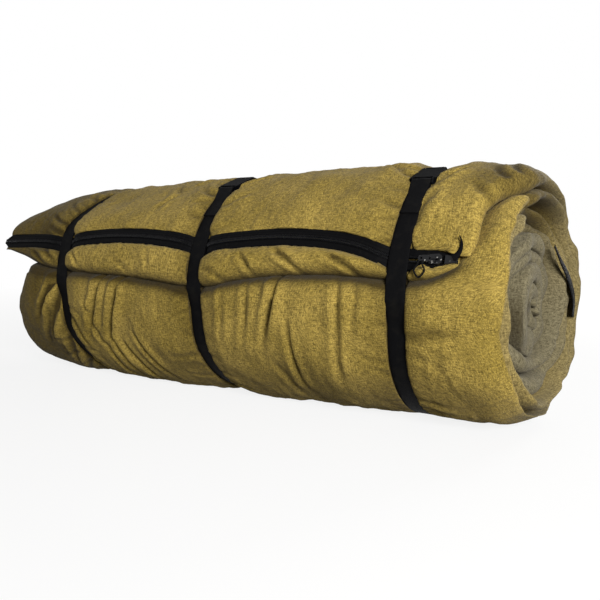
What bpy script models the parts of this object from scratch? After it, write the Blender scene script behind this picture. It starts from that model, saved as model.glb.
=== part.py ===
"""A rectangular canvas sleeping bag, rolled up and held by three buckled straps.

Metres, +Z up. The roll lies along X on the plane z = 0, and -Y is its front.
Angles are in degrees about the roll's axis: 0 points to the front, 90 points up, and they
grow inwards along the winding, so 367.5 is one turn further in than 7.5.
"""

import math

import bmesh
import bpy
import numpy as np
from mathutils import Matrix, Vector

# The roll: places along X are measured from the middle strap
LEFT_END = -0.405
RIGHT_END = 0.452
FOOT_LEFT = -0.430
FOOT_RIGHT = 0.375
STRAP_PLACES = {"left": -0.278, "middle": 0.0, "right": 0.302}
STRAP_RADIUS = 0.160
BAY_RISE = 0.011
CREST_RADIUS = STRAP_RADIUS + BAY_RISE
AXIS_HEIGHT = CREST_RADIUS - 0.0075
GROOVE_LIFT = 0.0025

# The winding: the foot edge lies on the front, and each turn inwards is pressed thinner
STEP = 15.0
CREASE_ANGLE = 7.5
WOUND_RADIUS = STRAP_RADIUS + 0.008
OUTER_TURN = 0.044
SECOND_TURN = 0.039
THIRD_TURN = 0.034
CORE_TURN = 0.026
CORE_HOLLOW = 0.0065
FOOT_SQUASH = 0.84
CORE_END = 1312.5
CREASE_DIP = 0.007

# The two quilts
CANVAS = 0.0012
LINING = 0.0010
LAYER_GAP = 0.0004
TURN_GAP = 0.0005
INSIDE_GAP = 0.0020
HEM_DEPTH = 0.0050
LIP_ANGLE = 12.0
LIP_REACH = 8.0

# The zip along the foot edge
TAPE_WIDTH = 0.0115
TAPE_THICKNESS = 0.0008
TAPE_DEPTH = 0.0036
CHAIN_WIDTH = 0.0030
CHAIN_HEIGHT = 0.0022
TOOTH_REACH = 0.0007
TOOTH_ROOT = 0.0015
TOOTH_FLANK = 0.0005
TEETH = 70
PARTED_SLIT = 0.0018
ZIP_SEAT = 0.0070
CLEARANCE = 0.0004
SLIDER_LENGTH = 0.0150
SLIDER_WIDTH = 0.0125
SLIDER_PLACE = 0.3460
WING = 0.0012
BRIDGE_WIDTH = 0.0022
PULL_LENGTH = 0.0200
PULL_WIDTH = 0.0076
PULL_THICKNESS = 0.0012
CORD_DIAMETER = 0.0020

# The straps and their side-release buckles
WEBBING_WIDTH = 0.025
WEBBING_THICKNESS = 0.0016
WEBBING_GAP = 0.0003
TAIL_LENGTH = 0.085
SEWN_LENGTH = 0.030
BUCKLE_ANGLES = {"left": 115.0, "middle": 70.0, "right": 70.0}
BUCKLE_WIDTH = WEBBING_WIDTH + 0.009
SLOT_WIDTH = WEBBING_WIDTH + 0.0022
BUCKLE_THICKNESS = 0.0090
BUCKLE_LIFT = 0.0022
SOCKET_LENGTH = 0.036
PLUG_LENGTH = 0.019
BUCKLE_WALL = 0.0018
BUCKLE_BAR = 0.0034
BAR_HEIGHT = 0.0032
BUCKLE_SLOT = 0.0046
PRONG_LENGTH = 0.023

# The dark tape among the folds of the right end
END_TAPE_WIDTH = 0.012
END_TAPE_THICKNESS = 0.0010

MIDDLE = (FOOT_LEFT + RIGHT_END) / 2

# Colour, roughness and metallic value of each kind of piece
FINISHES = {
    "canvas": ((0.30, 0.23, 0.085), 0.9, 0.0),
    "filling": ((0.80, 0.79, 0.75), 0.95, 0.0),
    "lining": ((0.21, 0.21, 0.13), 0.9, 0.0),
    "zip_tape": ((0.010, 0.010, 0.011), 0.85, 0.0),
    "zip_chain": ((0.012, 0.012, 0.013), 0.4, 0.0),
    "zip_metal": ((0.10, 0.10, 0.105), 0.35, 1.0),
    "webbing": ((0.006, 0.006, 0.007), 0.75, 0.0),
    "buckle": ((0.008, 0.008, 0.009), 0.3, 0.0),
}

# The canvas's stations along X: bays between the straps, with how far each stands out
LEFT_FRACTIONS, LEFT_BULGE = (0.0, 0.35, 0.78), (0.35, 0.95, 0.72)
BAY_FRACTIONS, BAY_BULGE = (0.14, 0.50, 0.86), (0.74, 1.0, 0.74)
RIGHT_FRACTIONS, RIGHT_BULGE = (0.22, 0.68, 1.0), (0.78, 1.0, 0.50)
BULGE = np.array([*LEFT_BULGE, 0, 0, *BAY_BULGE, 0, 0, *BAY_BULGE, 0, 0, *RIGHT_BULGE])
RIGHT_BAY = np.array([0.0] * 15 + [1.0] * 3)
ZIP_ANGLES = np.array(
    [24.0, 25.5, 24.5, 24.5, 24.5, 27.0, 28.5, 27.0, 24.5, 24.5, 27.0, 28.5, 25.0] + [20.5] * 5
)
CORNER_TUCK = np.array([1.0] * 15 + [0.92, 0.60, 0.30])


def material(kind):
    found = bpy.data.materials.get(kind)
    if found:
        return found
    made = bpy.data.materials.new(kind)
    made.use_nodes = True
    shader = made.node_tree.nodes["Principled BSDF"]
    colour, rough, metal = FINISHES[kind]
    shader.inputs["Base Color"].default_value = (*colour, 1.0)
    shader.inputs["Roughness"].default_value = rough
    shader.inputs["Metallic"].default_value = metal
    return made


def add_object(name, data, kind, matrix=None):
    made = bpy.data.objects.new(name, data)
    bpy.context.scene.collection.objects.link(made)
    data.materials.append(material(kind))
    if matrix is not None:
        made.matrix_world = matrix
    return made


# Where the fabric lies


def ends(angle):
    """The bag's left and right end at an angle: the foot edge lies further to the left."""
    foot = np.clip((90.0 - angle) / 65.0, 0.0, 1.0)
    left = LEFT_END + foot * (FOOT_LEFT - LEFT_END)
    right = RIGHT_END + foot * (FOOT_RIGHT - RIGHT_END)
    return left, right


def stations(angle, inset=0.0):
    """Places along X of the sections at one angle, from the left end to the right."""
    left, right = ends(angle)
    left, right = left + inset, right - inset
    half = WEBBING_WIDTH / 2 + 0.0005
    first, second, third = STRAP_PLACES.values()
    spans = (
        (left, first - half, LEFT_FRACTIONS),
        (first - half, first + half, (0.0, 1.0)),
        (first + half, second - half, BAY_FRACTIONS),
        (second - half, second + half, (0.0, 1.0)),
        (second + half, third - half, BAY_FRACTIONS),
        (third - half, third + half, (0.0, 1.0)),
        (third + half, right, RIGHT_FRACTIONS),
    )
    return np.array([low + f * (high - low) for low, high, fractions in spans for f in fractions])


def skin_radius(angle):
    """The outermost turn's radius at each station, flat where the roll lies on the ground."""
    rise = np.clip((angle - 32.0) / 35.0, 0.0, 1.0)
    bulge = BULGE * (1.0 - RIGHT_BAY * (1.0 - rise))
    dip = np.interp(angle, (330.0, 352.5), (0.0, CREASE_DIP))
    radius = STRAP_RADIUS + (CREST_RADIUS - STRAP_RADIUS) * bulge - dip
    down = -math.sin(math.radians(angle))
    if down < 0.2:
        return radius
    return np.minimum(radius, (AXIS_HEIGHT - GROOVE_LIFT * (bulge < 0.6)) / down)


def winding_radius(angle):
    """The inner turns' outer radius: level round each turn, with a step down at its end."""
    outer_edge = WOUND_RADIUS - OUTER_TURN * FOOT_SQUASH
    outer = WOUND_RADIUS - OUTER_TURN
    second_edge, second = outer_edge - SECOND_TURN, outer - SECOND_TURN
    third_edge = second_edge - THIRD_TURN
    knots = (
        (CREASE_ANGLE + 360, outer_edge),
        (CREASE_ANGLE + 405, outer),
        (CREASE_ANGLE + 645, outer),
        (CREASE_ANGLE + 720, second_edge),
        (CREASE_ANGLE + 765, second),
        (CREASE_ANGLE + 900, second),
        (CREASE_ANGLE + 1080, third_edge),
        (CORE_END, CORE_TURN + CORE_HOLLOW),
    )
    return float(np.interp(angle, *zip(*knots)))


def is_outermost(angle):
    return angle < CREASE_ANGLE + 359


def outer_radius(angle):
    """The outside of the two quilts together, at each station."""
    if is_outermost(angle):
        return skin_radius(angle)
    return np.full(len(BULGE), winding_radius(angle))


def inner_radius(angle):
    """The inside of the two quilts together: on the next turn, or round the core's hollow."""
    if angle + 360 <= CORE_END:
        return np.full(len(BULGE), winding_radius(angle + 360) + TURN_GAP)
    on_last_turn = winding_radius(CORE_END) + TURN_GAP
    round_core = winding_radius(angle) - CORE_TURN
    return np.full(len(BULGE), min(on_last_turn, round_core))


def middle_radius(angle):
    """Where the two quilts meet."""
    low = inner_radius(angle)
    high = STRAP_RADIUS if is_outermost(angle) else winding_radius(angle)
    return low + 0.46 * (high - low)


def radii(angles, at, offset=0.0):
    """The radius at each station, where each station has an angle of its own."""
    return np.array([at(float(a))[j] for j, a in enumerate(angles)]) + offset


def place(x, angle, radius):
    x, a, radius = np.broadcast_arrays(x, np.radians(angle), radius)
    return np.stack([x - MIDDLE, -radius * np.cos(a), AXIS_HEIGHT + radius * np.sin(a)], -1)


def across(angles, radius, inset=0.0):
    """Points from the left end to the right, one for each station."""
    xs = [stations(float(a), inset)[j] for j, a in enumerate(angles)]
    return place(np.array(xs), angles, radius)


def across_with_ends(angles, radius):
    """The same, with two more points at each end for a wall one canvas thick."""
    xs = [stations(float(a), CANVAS)[j] for j, a in enumerate(angles)]
    left, right = ends(float(angles[0]))[0], ends(float(angles[-1]))[1]
    xs = [left, left + CANVAS, *xs, right - CANVAS, right]
    order = [0, 0, *range(len(angles)), -1, -1]
    return place(np.array(xs), angles[order], radius[order])


# Sheets, pads and shells


def slab(name, kind, skin, back, flat=0.001):
    """A closed sheet or pad between two grids of points, [column][station].

    Faces whose directions differ by less than flat, in radians, are joined.
    """
    bm = bmesh.new()
    s = [[bm.verts.new(p) for p in row] for row in skin]
    b = [[bm.verts.new(p) for p in row] for row in back]

    def two(a, b, c, d):
        bm.faces.new((a, b, c))
        bm.faces.new((a, c, d))

    rows, count = len(s), len(s[0])
    for k in range(rows - 1):
        for j in range(count - 1):
            two(s[k][j], s[k][j + 1], s[k + 1][j + 1], s[k + 1][j])
            two(b[k][j], b[k + 1][j], b[k + 1][j + 1], b[k][j + 1])
        two(s[k][0], s[k + 1][0], b[k + 1][0], b[k][0])
        two(s[k][-1], b[k][-1], b[k + 1][-1], s[k + 1][-1])
    for j in range(count - 1):
        two(s[0][j], b[0][j], b[0][j + 1], s[0][j + 1])
        two(s[-1][j], s[-1][j + 1], b[-1][j + 1], b[-1][j])
    bmesh.ops.remove_doubles(bm, verts=bm.verts, dist=1e-6)
    bmesh.ops.recalc_face_normals(bm, faces=bm.faces)
    bmesh.ops.dissolve_limit(bm, angle_limit=flat, verts=bm.verts, edges=bm.edges)
    mesh = bpy.data.meshes.new(name)
    bm.to_mesh(mesh)
    bm.free()
    return add_object(name, mesh, kind)


def shell(name, columns):
    """A canvas shell, open on its back, with walls along both ends, its hem and its last edge.

    Each column is (skin, back, deep): deep is where the walls reach to. The first two and the
    last two columns are one canvas thickness apart, and are solid down to there.
    """
    skins, backs = [], []
    for k, (skin, back, deep) in enumerate(columns):
        thin = back.copy()
        thin[[0, 1, -2, -1]] = deep[[0, 1, -2, -1]]
        if k == len(columns) - 2:
            skins.append(skin)
            backs.append(thin)
        solid = k < 2 or k >= len(columns) - 2
        skins.append(skin)
        backs.append(deep if solid else thin)
        if k == 1:
            skins.append(skin)
            backs.append(thin)
    return slab(name, "canvas", np.array(skins), np.array(backs))


# The quilts

STATIONS = len(BULGE)
HALF_ZIP = math.degrees(TAPE_WIDTH / STRAP_RADIUS) + 0.15
HEM = math.degrees(CANVAS / STRAP_RADIUS)
GAP_ANGLE = math.degrees(LAYER_GAP / STRAP_RADIUS)
FILLING_GAP = 0.0014
CORE_WALL = math.degrees(CANVAS / CORE_TURN)
CORE_GAP = math.degrees(LAYER_GAP / (CORE_TURN / 2))
JOIN = CREASE_ANGLE + 4 * STEP
TOP_OF_LINING = INSIDE_GAP / 2 + LINING


def level(angle):
    return np.full(STATIONS, float(angle))


def grid_angles(first):
    """The angles that all the layers share, from one of them to the core's end."""
    return [level(a) for a in np.arange(first, CORE_END + 0.01, STEP)]


def top_angles():
    """The upper quilt's columns: from the zip, whose angle varies, to the shared ones."""
    start = ZIP_ANGLES + HALF_ZIP
    return [start + f * (JOIN - start) for f in (0.0, 0.25, 0.5, 0.75)] + grid_angles(JOIN)


def make_top_canvas():
    angles = top_angles()
    angles.insert(1, angles[0] + HEM)
    angles.insert(-1, angles[-1] - CORE_WALL)
    columns = []
    for a in angles:
        outside = radii(a, outer_radius)
        inside = radii(a, middle_radius, TOP_OF_LINING + LAYER_GAP)
        columns.append([across_with_ends(a, r) for r in (outside, outside - CANVAS, inside)])
    shell("top_canvas", columns)


def pad_between(name, kind, angles, outside, inside, inset=0.0):
    skin = np.array([across(a, outside(a), inset) for a in angles])
    back = np.array([across(a, inside(a), inset) for a in angles])
    slab(name, kind, skin, back)


def make_top_filling():
    angles = top_angles()
    angles[0] = angles[0] + HEM + 2 * GAP_ANGLE
    angles[-1] = angles[-1] - CORE_WALL - CORE_GAP
    pad_between(
        "top_filling",
        "filling",
        angles,
        lambda a: radii(a, outer_radius, -CANVAS - LAYER_GAP),
        lambda a: radii(a, middle_radius, TOP_OF_LINING + LAYER_GAP),
        CANVAS + LAYER_GAP,
    )


def make_linings():
    for name, low in (("top_lining", INSIDE_GAP / 2), ("bottom_lining", -TOP_OF_LINING)):
        pad_between(
            name,
            "lining",
            top_angles(),
            lambda a: radii(a, middle_radius, low + LINING),
            lambda a: radii(a, middle_radius, low),
        )


def lip_point(turn, thinner):
    """The lip's rounded section: turn runs from 90 on its outside, by its tip, to -90 inside."""
    flat = LIP_ANGLE - (LIP_REACH - math.degrees(thinner / STRAP_RADIUS)) * math.cos(math.radians(turn))
    hem = ZIP_ANGLES - HALF_ZIP - HEM
    angles = hem - (hem - flat) * CORNER_TUCK
    top = radii(level(LIP_ANGLE), outer_radius)
    low = radii(level(LIP_ANGLE), inner_radius)
    centre, half = (top + low) / 2, (top - low) / 2
    return angles, centre + (half - thinner) * math.sin(math.radians(turn))


def make_bottom_canvas():
    hem = ZIP_ANGLES - HALF_ZIP
    top = radii(hem, outer_radius)
    centre = (radii(level(LIP_ANGLE), outer_radius) + radii(level(LIP_ANGLE), inner_radius)) / 2
    columns = []
    for a in (hem, hem - HEM):
        columns.append([across_with_ends(a, r) for r in (top, top - CANVAS, top - HEM_DEPTH)])
    for turn in range(90, -91, -30):
        side = LAYER_GAP if turn > -1 else -LAYER_GAP
        angles, deep = lip_point(turn, 0.012)
        columns.append(
            [
                across_with_ends(*lip_point(turn, 0.0)),
                across_with_ends(*lip_point(turn, CANVAS)),
                across_with_ends(angles, centre + side),
            ]
        )
    angles = grid_angles(CREASE_ANGLE + STEP)
    angles.insert(-1, angles[-1] - CORE_WALL)
    for a in angles:
        inside = radii(a, inner_radius)
        deep = radii(a, middle_radius, -TOP_OF_LINING - 2 * LAYER_GAP)
        columns.append([across_with_ends(a, r) for r in (inside, inside + CANVAS, deep)])
    shell("bottom_canvas", columns)


def make_bottom_filling():
    """It fills the lip, passes under the zip and runs on beneath the lining."""
    inset = CANVAS + LAYER_GAP
    end = CANVAS + 2 * FILLING_GAP
    lip = CANVAS + FILLING_GAP
    hem = ZIP_ANGLES - HALF_ZIP - HEM - GAP_ANGLE
    past_zip = ZIP_ANGLES + HALF_ZIP - 0.3
    skin, back = [], []

    def add(skin_angles, skin_radii, back_angles):
        skin.append(across(skin_angles, skin_radii, end))
        back.append(across(back_angles, radii(back_angles, inner_radius, inset), end))

    for turn in (25, 60, 90):
        skin.append(across(*lip_point(turn, lip), end))
        back.append(across(*lip_point(-turn, lip), end))
    add(hem, radii(hem, outer_radius, -lip), level(17.0))
    add(hem + 0.05, radii(hem, outer_radius, -HEM_DEPTH - LAYER_GAP), level(19.0))
    add(past_zip, radii(past_zip, outer_radius, -ZIP_SEAT), level(CREASE_ANGLE + STEP))
    below = [CREASE_ANGLE + STEP, 37.5, 45.0, 52.5]
    columns = top_angles()
    for k, a in enumerate(columns):
        top = radii(a, middle_radius, -TOP_OF_LINING - LAYER_GAP)
        if k == 0:
            a = past_zip + 0.05
        if k == len(columns) - 1:
            a = a - CORE_WALL - CORE_GAP
        add(a, top, level(below[k]) if k < len(below) else a)
    slab("bottom_filling", "filling", np.array(skin), np.array(back))


# The zip


def zip_line(x):
    """The zip's angle and the canvas's radius beside it, at places along X."""
    at = stations(ZIP_ANGLES[0])
    radius = radii(ZIP_ANGLES, outer_radius)
    return np.interp(x, at, ZIP_ANGLES), np.interp(x, at, radius)


def zip_points(x, side, depth):
    """Points beside the zip's centre line: side is up the roll, and depth is below the canvas."""
    angle, radius = zip_line(x)
    return place(x, angle + np.degrees(side / STRAP_RADIUS), radius - depth)


ZIP_START = FOOT_LEFT + 0.004
ZIP_STOP = SLIDER_PLACE + SLIDER_LENGTH / 2 + 0.0025
TAPE_END = FOOT_RIGHT - 0.004


def make_tapes():
    places = stations(ZIP_ANGLES[0])
    x = np.array([ZIP_START, *places[(places > ZIP_START) & (places < TAPE_END)], TAPE_END])
    inner = PARTED_SLIT / 2
    for name, way in (("zip_tape_upper", 1.0), ("zip_tape_lower", -1.0)):
        sides = [way * s for s in (inner, TAPE_WIDTH - LAYER_GAP / 2)]
        skin = np.array([zip_points(x, s, TAPE_DEPTH - TAPE_THICKNESS) for s in sides])
        back = np.array([zip_points(x, s, TAPE_DEPTH) for s in sides])
        slab(name, "zip_tape", skin, back)


def make_chains():
    """Two rows of teeth that mesh along the closed zip and part beside the slider."""
    pitch = (ZIP_STOP - ZIP_START) / TEETH
    for name, way, shift in (("zip_chain_upper", 1.0, 0.0), ("zip_chain_lower", -1.0, 0.5)):
        x, inner = [], []
        for n in range(TEETH):
            start = ZIP_START + (n + 0.02 + shift * 0.98) * pitch
            wide = pitch * 0.5 - TOOTH_FLANK - CLEARANCE
            if start + pitch * 0.5 > ZIP_STOP:
                break
            x += [start, start + TOOTH_FLANK, start + wide, start + wide + TOOTH_FLANK]
            inner += [TOOTH_ROOT, -TOOTH_REACH, -TOOTH_REACH, TOOTH_ROOT]
        x, inner = np.array(x), np.array(inner)
        parted = STRAP_PLACES["right"] + np.array([-0.5, 0.5]) * WEBBING_WIDTH
        apart = np.interp(x, parted, (0.0, TOOTH_REACH + PARTED_SLIT / 2))
        sides = [way * (inner + apart), way * (CHAIN_WIDTH + apart)]
        low = TAPE_DEPTH - TAPE_THICKNESS - WEBBING_GAP
        skin = np.array([zip_points(x, s, low - CHAIN_HEIGHT) for s in sides])
        back = np.array([zip_points(x, s, low) for s in sides])
        slab(name, "zip_chain", skin, back, flat=0.004)


def surface_frame(x, angle, radius):
    """A frame on the roll: X along it, Y up over the surface, Z outwards."""
    origin = Vector(place(x, angle, radius))
    return Matrix.Translation(origin) @ Matrix.Rotation(math.radians(90 - angle), 4, "X")


def prism(name, kind, outline, low, high, matrix, bevel=0.0):
    """An outline in X and Y, extruded from low to high along Z, with its edges rounded."""
    bm = bmesh.new()
    face = bm.faces.new([bm.verts.new((x, y, low)) for x, y in outline])
    made = bmesh.ops.extrude_face_region(bm, geom=[face])
    for v in made["geom"]:
        if isinstance(v, bmesh.types.BMVert):
            v.co.z = high
    bmesh.ops.recalc_face_normals(bm, faces=bm.faces)
    mesh = bpy.data.meshes.new(name)
    bm.to_mesh(mesh)
    bm.free()
    made = add_object(name, mesh, kind, matrix)
    if bevel:
        rounded = made.modifiers.new("Rounded edges", "BEVEL")
        rounded.width = bevel
        rounded.segments = 1
        rounded.limit_method = "ANGLE"
    return made


def rectangle(x0, x1, y0, y1):
    return [(x0, y0), (x1, y0), (x1, y1), (x0, y1)]


def combine(body, other, operation):
    """A Boolean with a helper object that isn't a piece itself."""
    other.hide_render = True
    other.display_type = "WIRE"
    modifier = body.modifiers.new(operation.title(), "BOOLEAN")
    modifier.operation = operation
    modifier.object = other


def make_slider():
    frame = surface_frame(SLIDER_PLACE, ZIP_ANGLES[-1], STRAP_RADIUS)
    half, wide = SLIDER_LENGTH / 2, SLIDER_WIDTH / 2
    outline = [
        (-half, -wide * 0.86),
        (half * 0.5, -wide),
        (half, -wide * 0.62),
        (half, wide * 0.62),
        (half * 0.5, wide),
        (-half, wide * 0.86),
    ]
    chain_top = TAPE_DEPTH - TAPE_THICKNESS - WEBBING_GAP - CHAIN_HEIGHT
    top = CLEARANCE - chain_top + WING
    slot_top = -(TAPE_DEPTH - TAPE_THICKNESS) + CLEARANCE
    slot_low = -TAPE_DEPTH - CLEARANCE
    body = prism("zip_slider", "zip_metal", outline, slot_low - WING, top, frame)
    slot = rectangle(-half - 0.001, half + 0.001, -wide - 0.001, wide + 0.001)
    combine(body, prism("slider_slot", "zip_metal", slot, slot_low, slot_top, frame), "DIFFERENCE")
    reach = TOOTH_REACH + PARTED_SLIT / 2 + CHAIN_WIDTH + CLEARANCE
    channel = rectangle(-half - 0.001, half + 0.001, -reach, reach)
    cutter = prism("slider_channel", "zip_metal", channel, slot_low + 0.0002, top - WING, frame)
    combine(body, cutter, "DIFFERENCE")
    thin = PARTED_SLIT / 2 - CLEARANCE
    neck = [(half - 0.0055, -thin), (half - 0.001, -thin), (half - 0.001, thin), (half - 0.0055, thin)]
    middle = prism("slider_neck", "zip_metal", neck, slot_low - WING / 2, top - WING / 2, frame)
    combine(body, middle, "UNION")
    pivot = top + 0.0016
    beam_low = pivot + PULL_THICKNESS / 2 + CLEARANCE
    arch = rectangle(-0.0042, 0.0042, -BRIDGE_WIDTH / 2, BRIDGE_WIDTH / 2)
    bridge = prism("slider_bridge", "zip_metal", arch, top - WING / 2, beam_low + WING, frame)
    gap = rectangle(-0.0028, 0.0028, -BRIDGE_WIDTH, BRIDGE_WIDTH)
    hole = prism("slider_gap", "zip_metal", gap, top, beam_low, frame)
    combine(bridge, hole, "DIFFERENCE")
    combine(body, bridge, "UNION")
    return frame @ Matrix.Translation((0, 0, pivot))


def make_pull(pivot):
    """The tab lies flat towards the strap, with its cross-bar under the slider's bridge."""
    half, bar = PULL_WIDTH / 2, PULL_THICKNESS / 2
    outline = [
        (bar, -half),
        (bar, half),
        (-PULL_LENGTH * 0.7, half),
        (-PULL_LENGTH + 0.001, half * 0.7),
        (-PULL_LENGTH, 0.0),
        (-PULL_LENGTH + 0.001, -half * 0.7),
        (-PULL_LENGTH * 0.7, -half),
    ]
    tab = prism("pull_tab", "zip_metal", outline, -bar, bar, pivot)
    rail = BRIDGE_WIDTH / 2 + CLEARANCE
    window = rectangle(-0.0068, -bar, -rail, rail)
    combine(tab, prism("pull_window", "zip_metal", window, -0.002, 0.002, pivot), "DIFFERENCE")
    eye_at = -PULL_LENGTH + 0.0042
    eye = [
        (eye_at + 0.0014 * math.cos(t), 0.0014 * math.sin(t))
        for t in np.linspace(0, 2 * math.pi, 12, endpoint=False)
    ]
    combine(tab, prism("pull_eye", "zip_metal", eye, -0.002, 0.002, pivot), "DIFFERENCE")
    return pivot @ Matrix.Translation((eye_at, 0, bar))


# The cord loop's own points beside the tab's eye: X, Y down the roll, and height
LOOP_ROUTE = (
    (0.0022, -0.0036, 0.0015),
    (0.0030, -0.0085, 0.0016),
    (0.0062, -0.0155, 0.0010),
    (0.0000, -0.0232, 0.0004),
    (-0.0062, -0.0155, 0.0010),
    (-0.0030, -0.0085, 0.0016),
    (-0.0022, -0.0036, 0.0015),
)


def smooth(points, steps):
    """A curve through the points, with steps points to each span."""
    p = np.array([points[0], *points, points[-1]], float)
    out = []
    for k in range(1, len(p) - 2):
        a, b, c, d = p[k - 1 : k + 3]
        for t in np.linspace(0, 1, steps, endpoint=False):
            out.append(
                0.5 * (2 * b + (c - a) * t + (2 * a - 5 * b + 4 * c - d) * t * t)
                + 0.5 * (3 * b - a - 3 * c + d) * t**3
            )
    return np.array([*out, p[-2]])


def make_cord(eye):
    points = smooth(LOOP_ROUTE, 2)
    curve = bpy.data.curves.new("pull_cord", "CURVE")
    curve.dimensions = "3D"
    line = curve.splines.new("POLY")
    line.points.add(len(points) - 1)
    for point, co in zip(line.points, points):
        point.co = (*co, 1.0)
    curve.bevel_depth = CORD_DIAMETER / 2
    curve.bevel_resolution = 2
    curve.use_fill_caps = True
    add_object("pull_cord", curve, "webbing", eye)


def make_stop():
    """The moulded stop across the chain's end, with the tape's folded end behind it."""
    frame = surface_frame((ZIP_STOP + TAPE_END) / 2, ZIP_ANGLES[-1], STRAP_RADIUS)
    half = (TAPE_END - ZIP_STOP) / 2
    low = -(TAPE_DEPTH - TAPE_THICKNESS) + WEBBING_GAP
    outline = [
        (-half + CLEARANCE, -0.0052),
        (-half + 0.004, -0.0052),
        (half, -0.0036),
        (half, 0.0036),
        (-half + 0.004, 0.0052),
        (-half + CLEARANCE, 0.0052),
    ]
    prism("zip_stop", "buckle", outline, low, 0.0006, frame, bevel=0.0005)


# The straps and buckles


def ribbon(name, centre, x, width):
    """Webbing that follows a line of (Y, Z) points, spread to its width along X."""
    p = np.array(centre)
    along = np.gradient(p, axis=0)
    forward, backward = np.diff(p, axis=0), np.diff(p, axis=0)
    forward = np.vstack([forward, forward[-1:]])
    backward = np.vstack([backward[:1], backward])
    unit = [v / np.linalg.norm(v, axis=1)[:, None] for v in (forward, backward)]
    along = unit[0] + unit[1]
    along /= np.linalg.norm(along, axis=1)[:, None]
    normal = np.stack([-along[:, 1], along[:, 0]], -1)
    stretch = 1.0 / np.maximum((normal * np.stack([-unit[0][:, 1], unit[0][:, 0]], -1)).sum(1), 0.5)
    side = normal * (WEBBING_THICKNESS / 2 * stretch)[:, None]
    grids = []
    for line in (p + side, p - side):
        ends_x = (x - width / 2 - MIDDLE, x + width / 2 - MIDDLE)
        grids.append(np.array([[(e, y, z) for e in ends_x] for y, z in line]))
    slab(name, "webbing", *grids)


def strap_line(station, buckle):
    """Angle and inner radius of the webbing's main run at one strap, from the front round the back."""
    columns = [a[station] for a in top_angles()]
    front = [a for a in columns if a < buckle - 14]
    zip_angle = ZIP_ANGLES[station]
    lip = [zip_angle, zip_angle - HALF_ZIP - HEM, LIP_ANGLE, 2.0]
    back = [a for a in columns if buckle + 26 < a < CREASE_ANGLE + 359][::-1]
    angles = [*reversed(front), *lip, *[a - 360 for a in back]]
    points = []
    for a in angles:
        radius = skin_radius(a % 360)[station] if a < 0 else STRAP_RADIUS
        points.append((a, radius + WEBBING_GAP))
    return points


def polar(points, lift):
    out = []
    for angle, radius in points:
        a = math.radians(angle)
        r = radius + lift
        out.append((-r * math.cos(a), AXIS_HEIGHT + r * math.sin(a)))
    return out


def bar_loop(way, bar_y, bar_z):
    """The webbing's turn round a buckle's bar, from below it to above it, as local Y and Z."""
    corner = math.hypot(BUCKLE_BAR, BAR_HEIGHT) / 2 + WEBBING_GAP
    turn = corner / math.cos(math.radians(20)) + WEBBING_THICKNESS / 2
    out = []
    for t in (-100, -60, -20, 20, 60, 100):
        a = math.radians(t)
        out.append((bar_y - way * turn * math.cos(a), bar_z + turn * math.sin(a)))
    return out


def to_world(frame, points):
    out = []
    for y, z in points:
        p = frame @ Vector((0, y, z))
        out.append((p.y, p.z))
    return out


def buckle_frame(side):
    return surface_frame(STRAP_PLACES[side], BUCKLE_ANGLES[side], STRAP_RADIUS + BUCKLE_LIFT)


MOUTH = (SOCKET_LENGTH - PLUG_LENGTH) / 2
SOCKET_END = MOUTH - SOCKET_LENGTH
PLUG_END = MOUTH + PLUG_LENGTH


def on_run(points, start, length, lift):
    """The part of a run that a webbing end lies on: from a point of it, for a length."""
    line = np.array(polar(points[start:], lift))
    run = np.concatenate([[0], np.cumsum(np.linalg.norm(np.diff(line, axis=0), axis=1))])
    keep = [tuple(p) for p, s in zip(line, run) if s < length - 0.004]
    last = tuple(np.interp(length, run, line[:, k]) for k in (0, 1))
    return [*keep, last]


def make_strap(side):
    x = STRAP_PLACES[side]
    station = {"left": 3, "middle": 8, "right": 13}[side]
    frame = buckle_frame(side)
    run = strap_line(station, BUCKLE_ANGLES[side])
    half = WEBBING_THICKNESS / 2
    over = WEBBING_THICKNESS + WEBBING_GAP + half
    bar_z = BUCKLE_THICKNESS / 2
    socket_loop = bar_loop(-1.0, SOCKET_END + BUCKLE_BAR / 2, bar_z)
    plug_loop = bar_loop(1.0, PLUG_END - BUCKLE_BAR / 2, bar_z)
    sewn = on_run(run, 0, SEWN_LENGTH, over)
    tail = on_run(run[::-1], 0, TAIL_LENGTH, over)
    centre = [
        *reversed(sewn),
        *to_world(frame, reversed(socket_loop)),
        *polar(run, half),
        *to_world(frame, plug_loop),
        *tail,
    ]
    ribbon("strap_" + side, centre, x, WEBBING_WIDTH)


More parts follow.
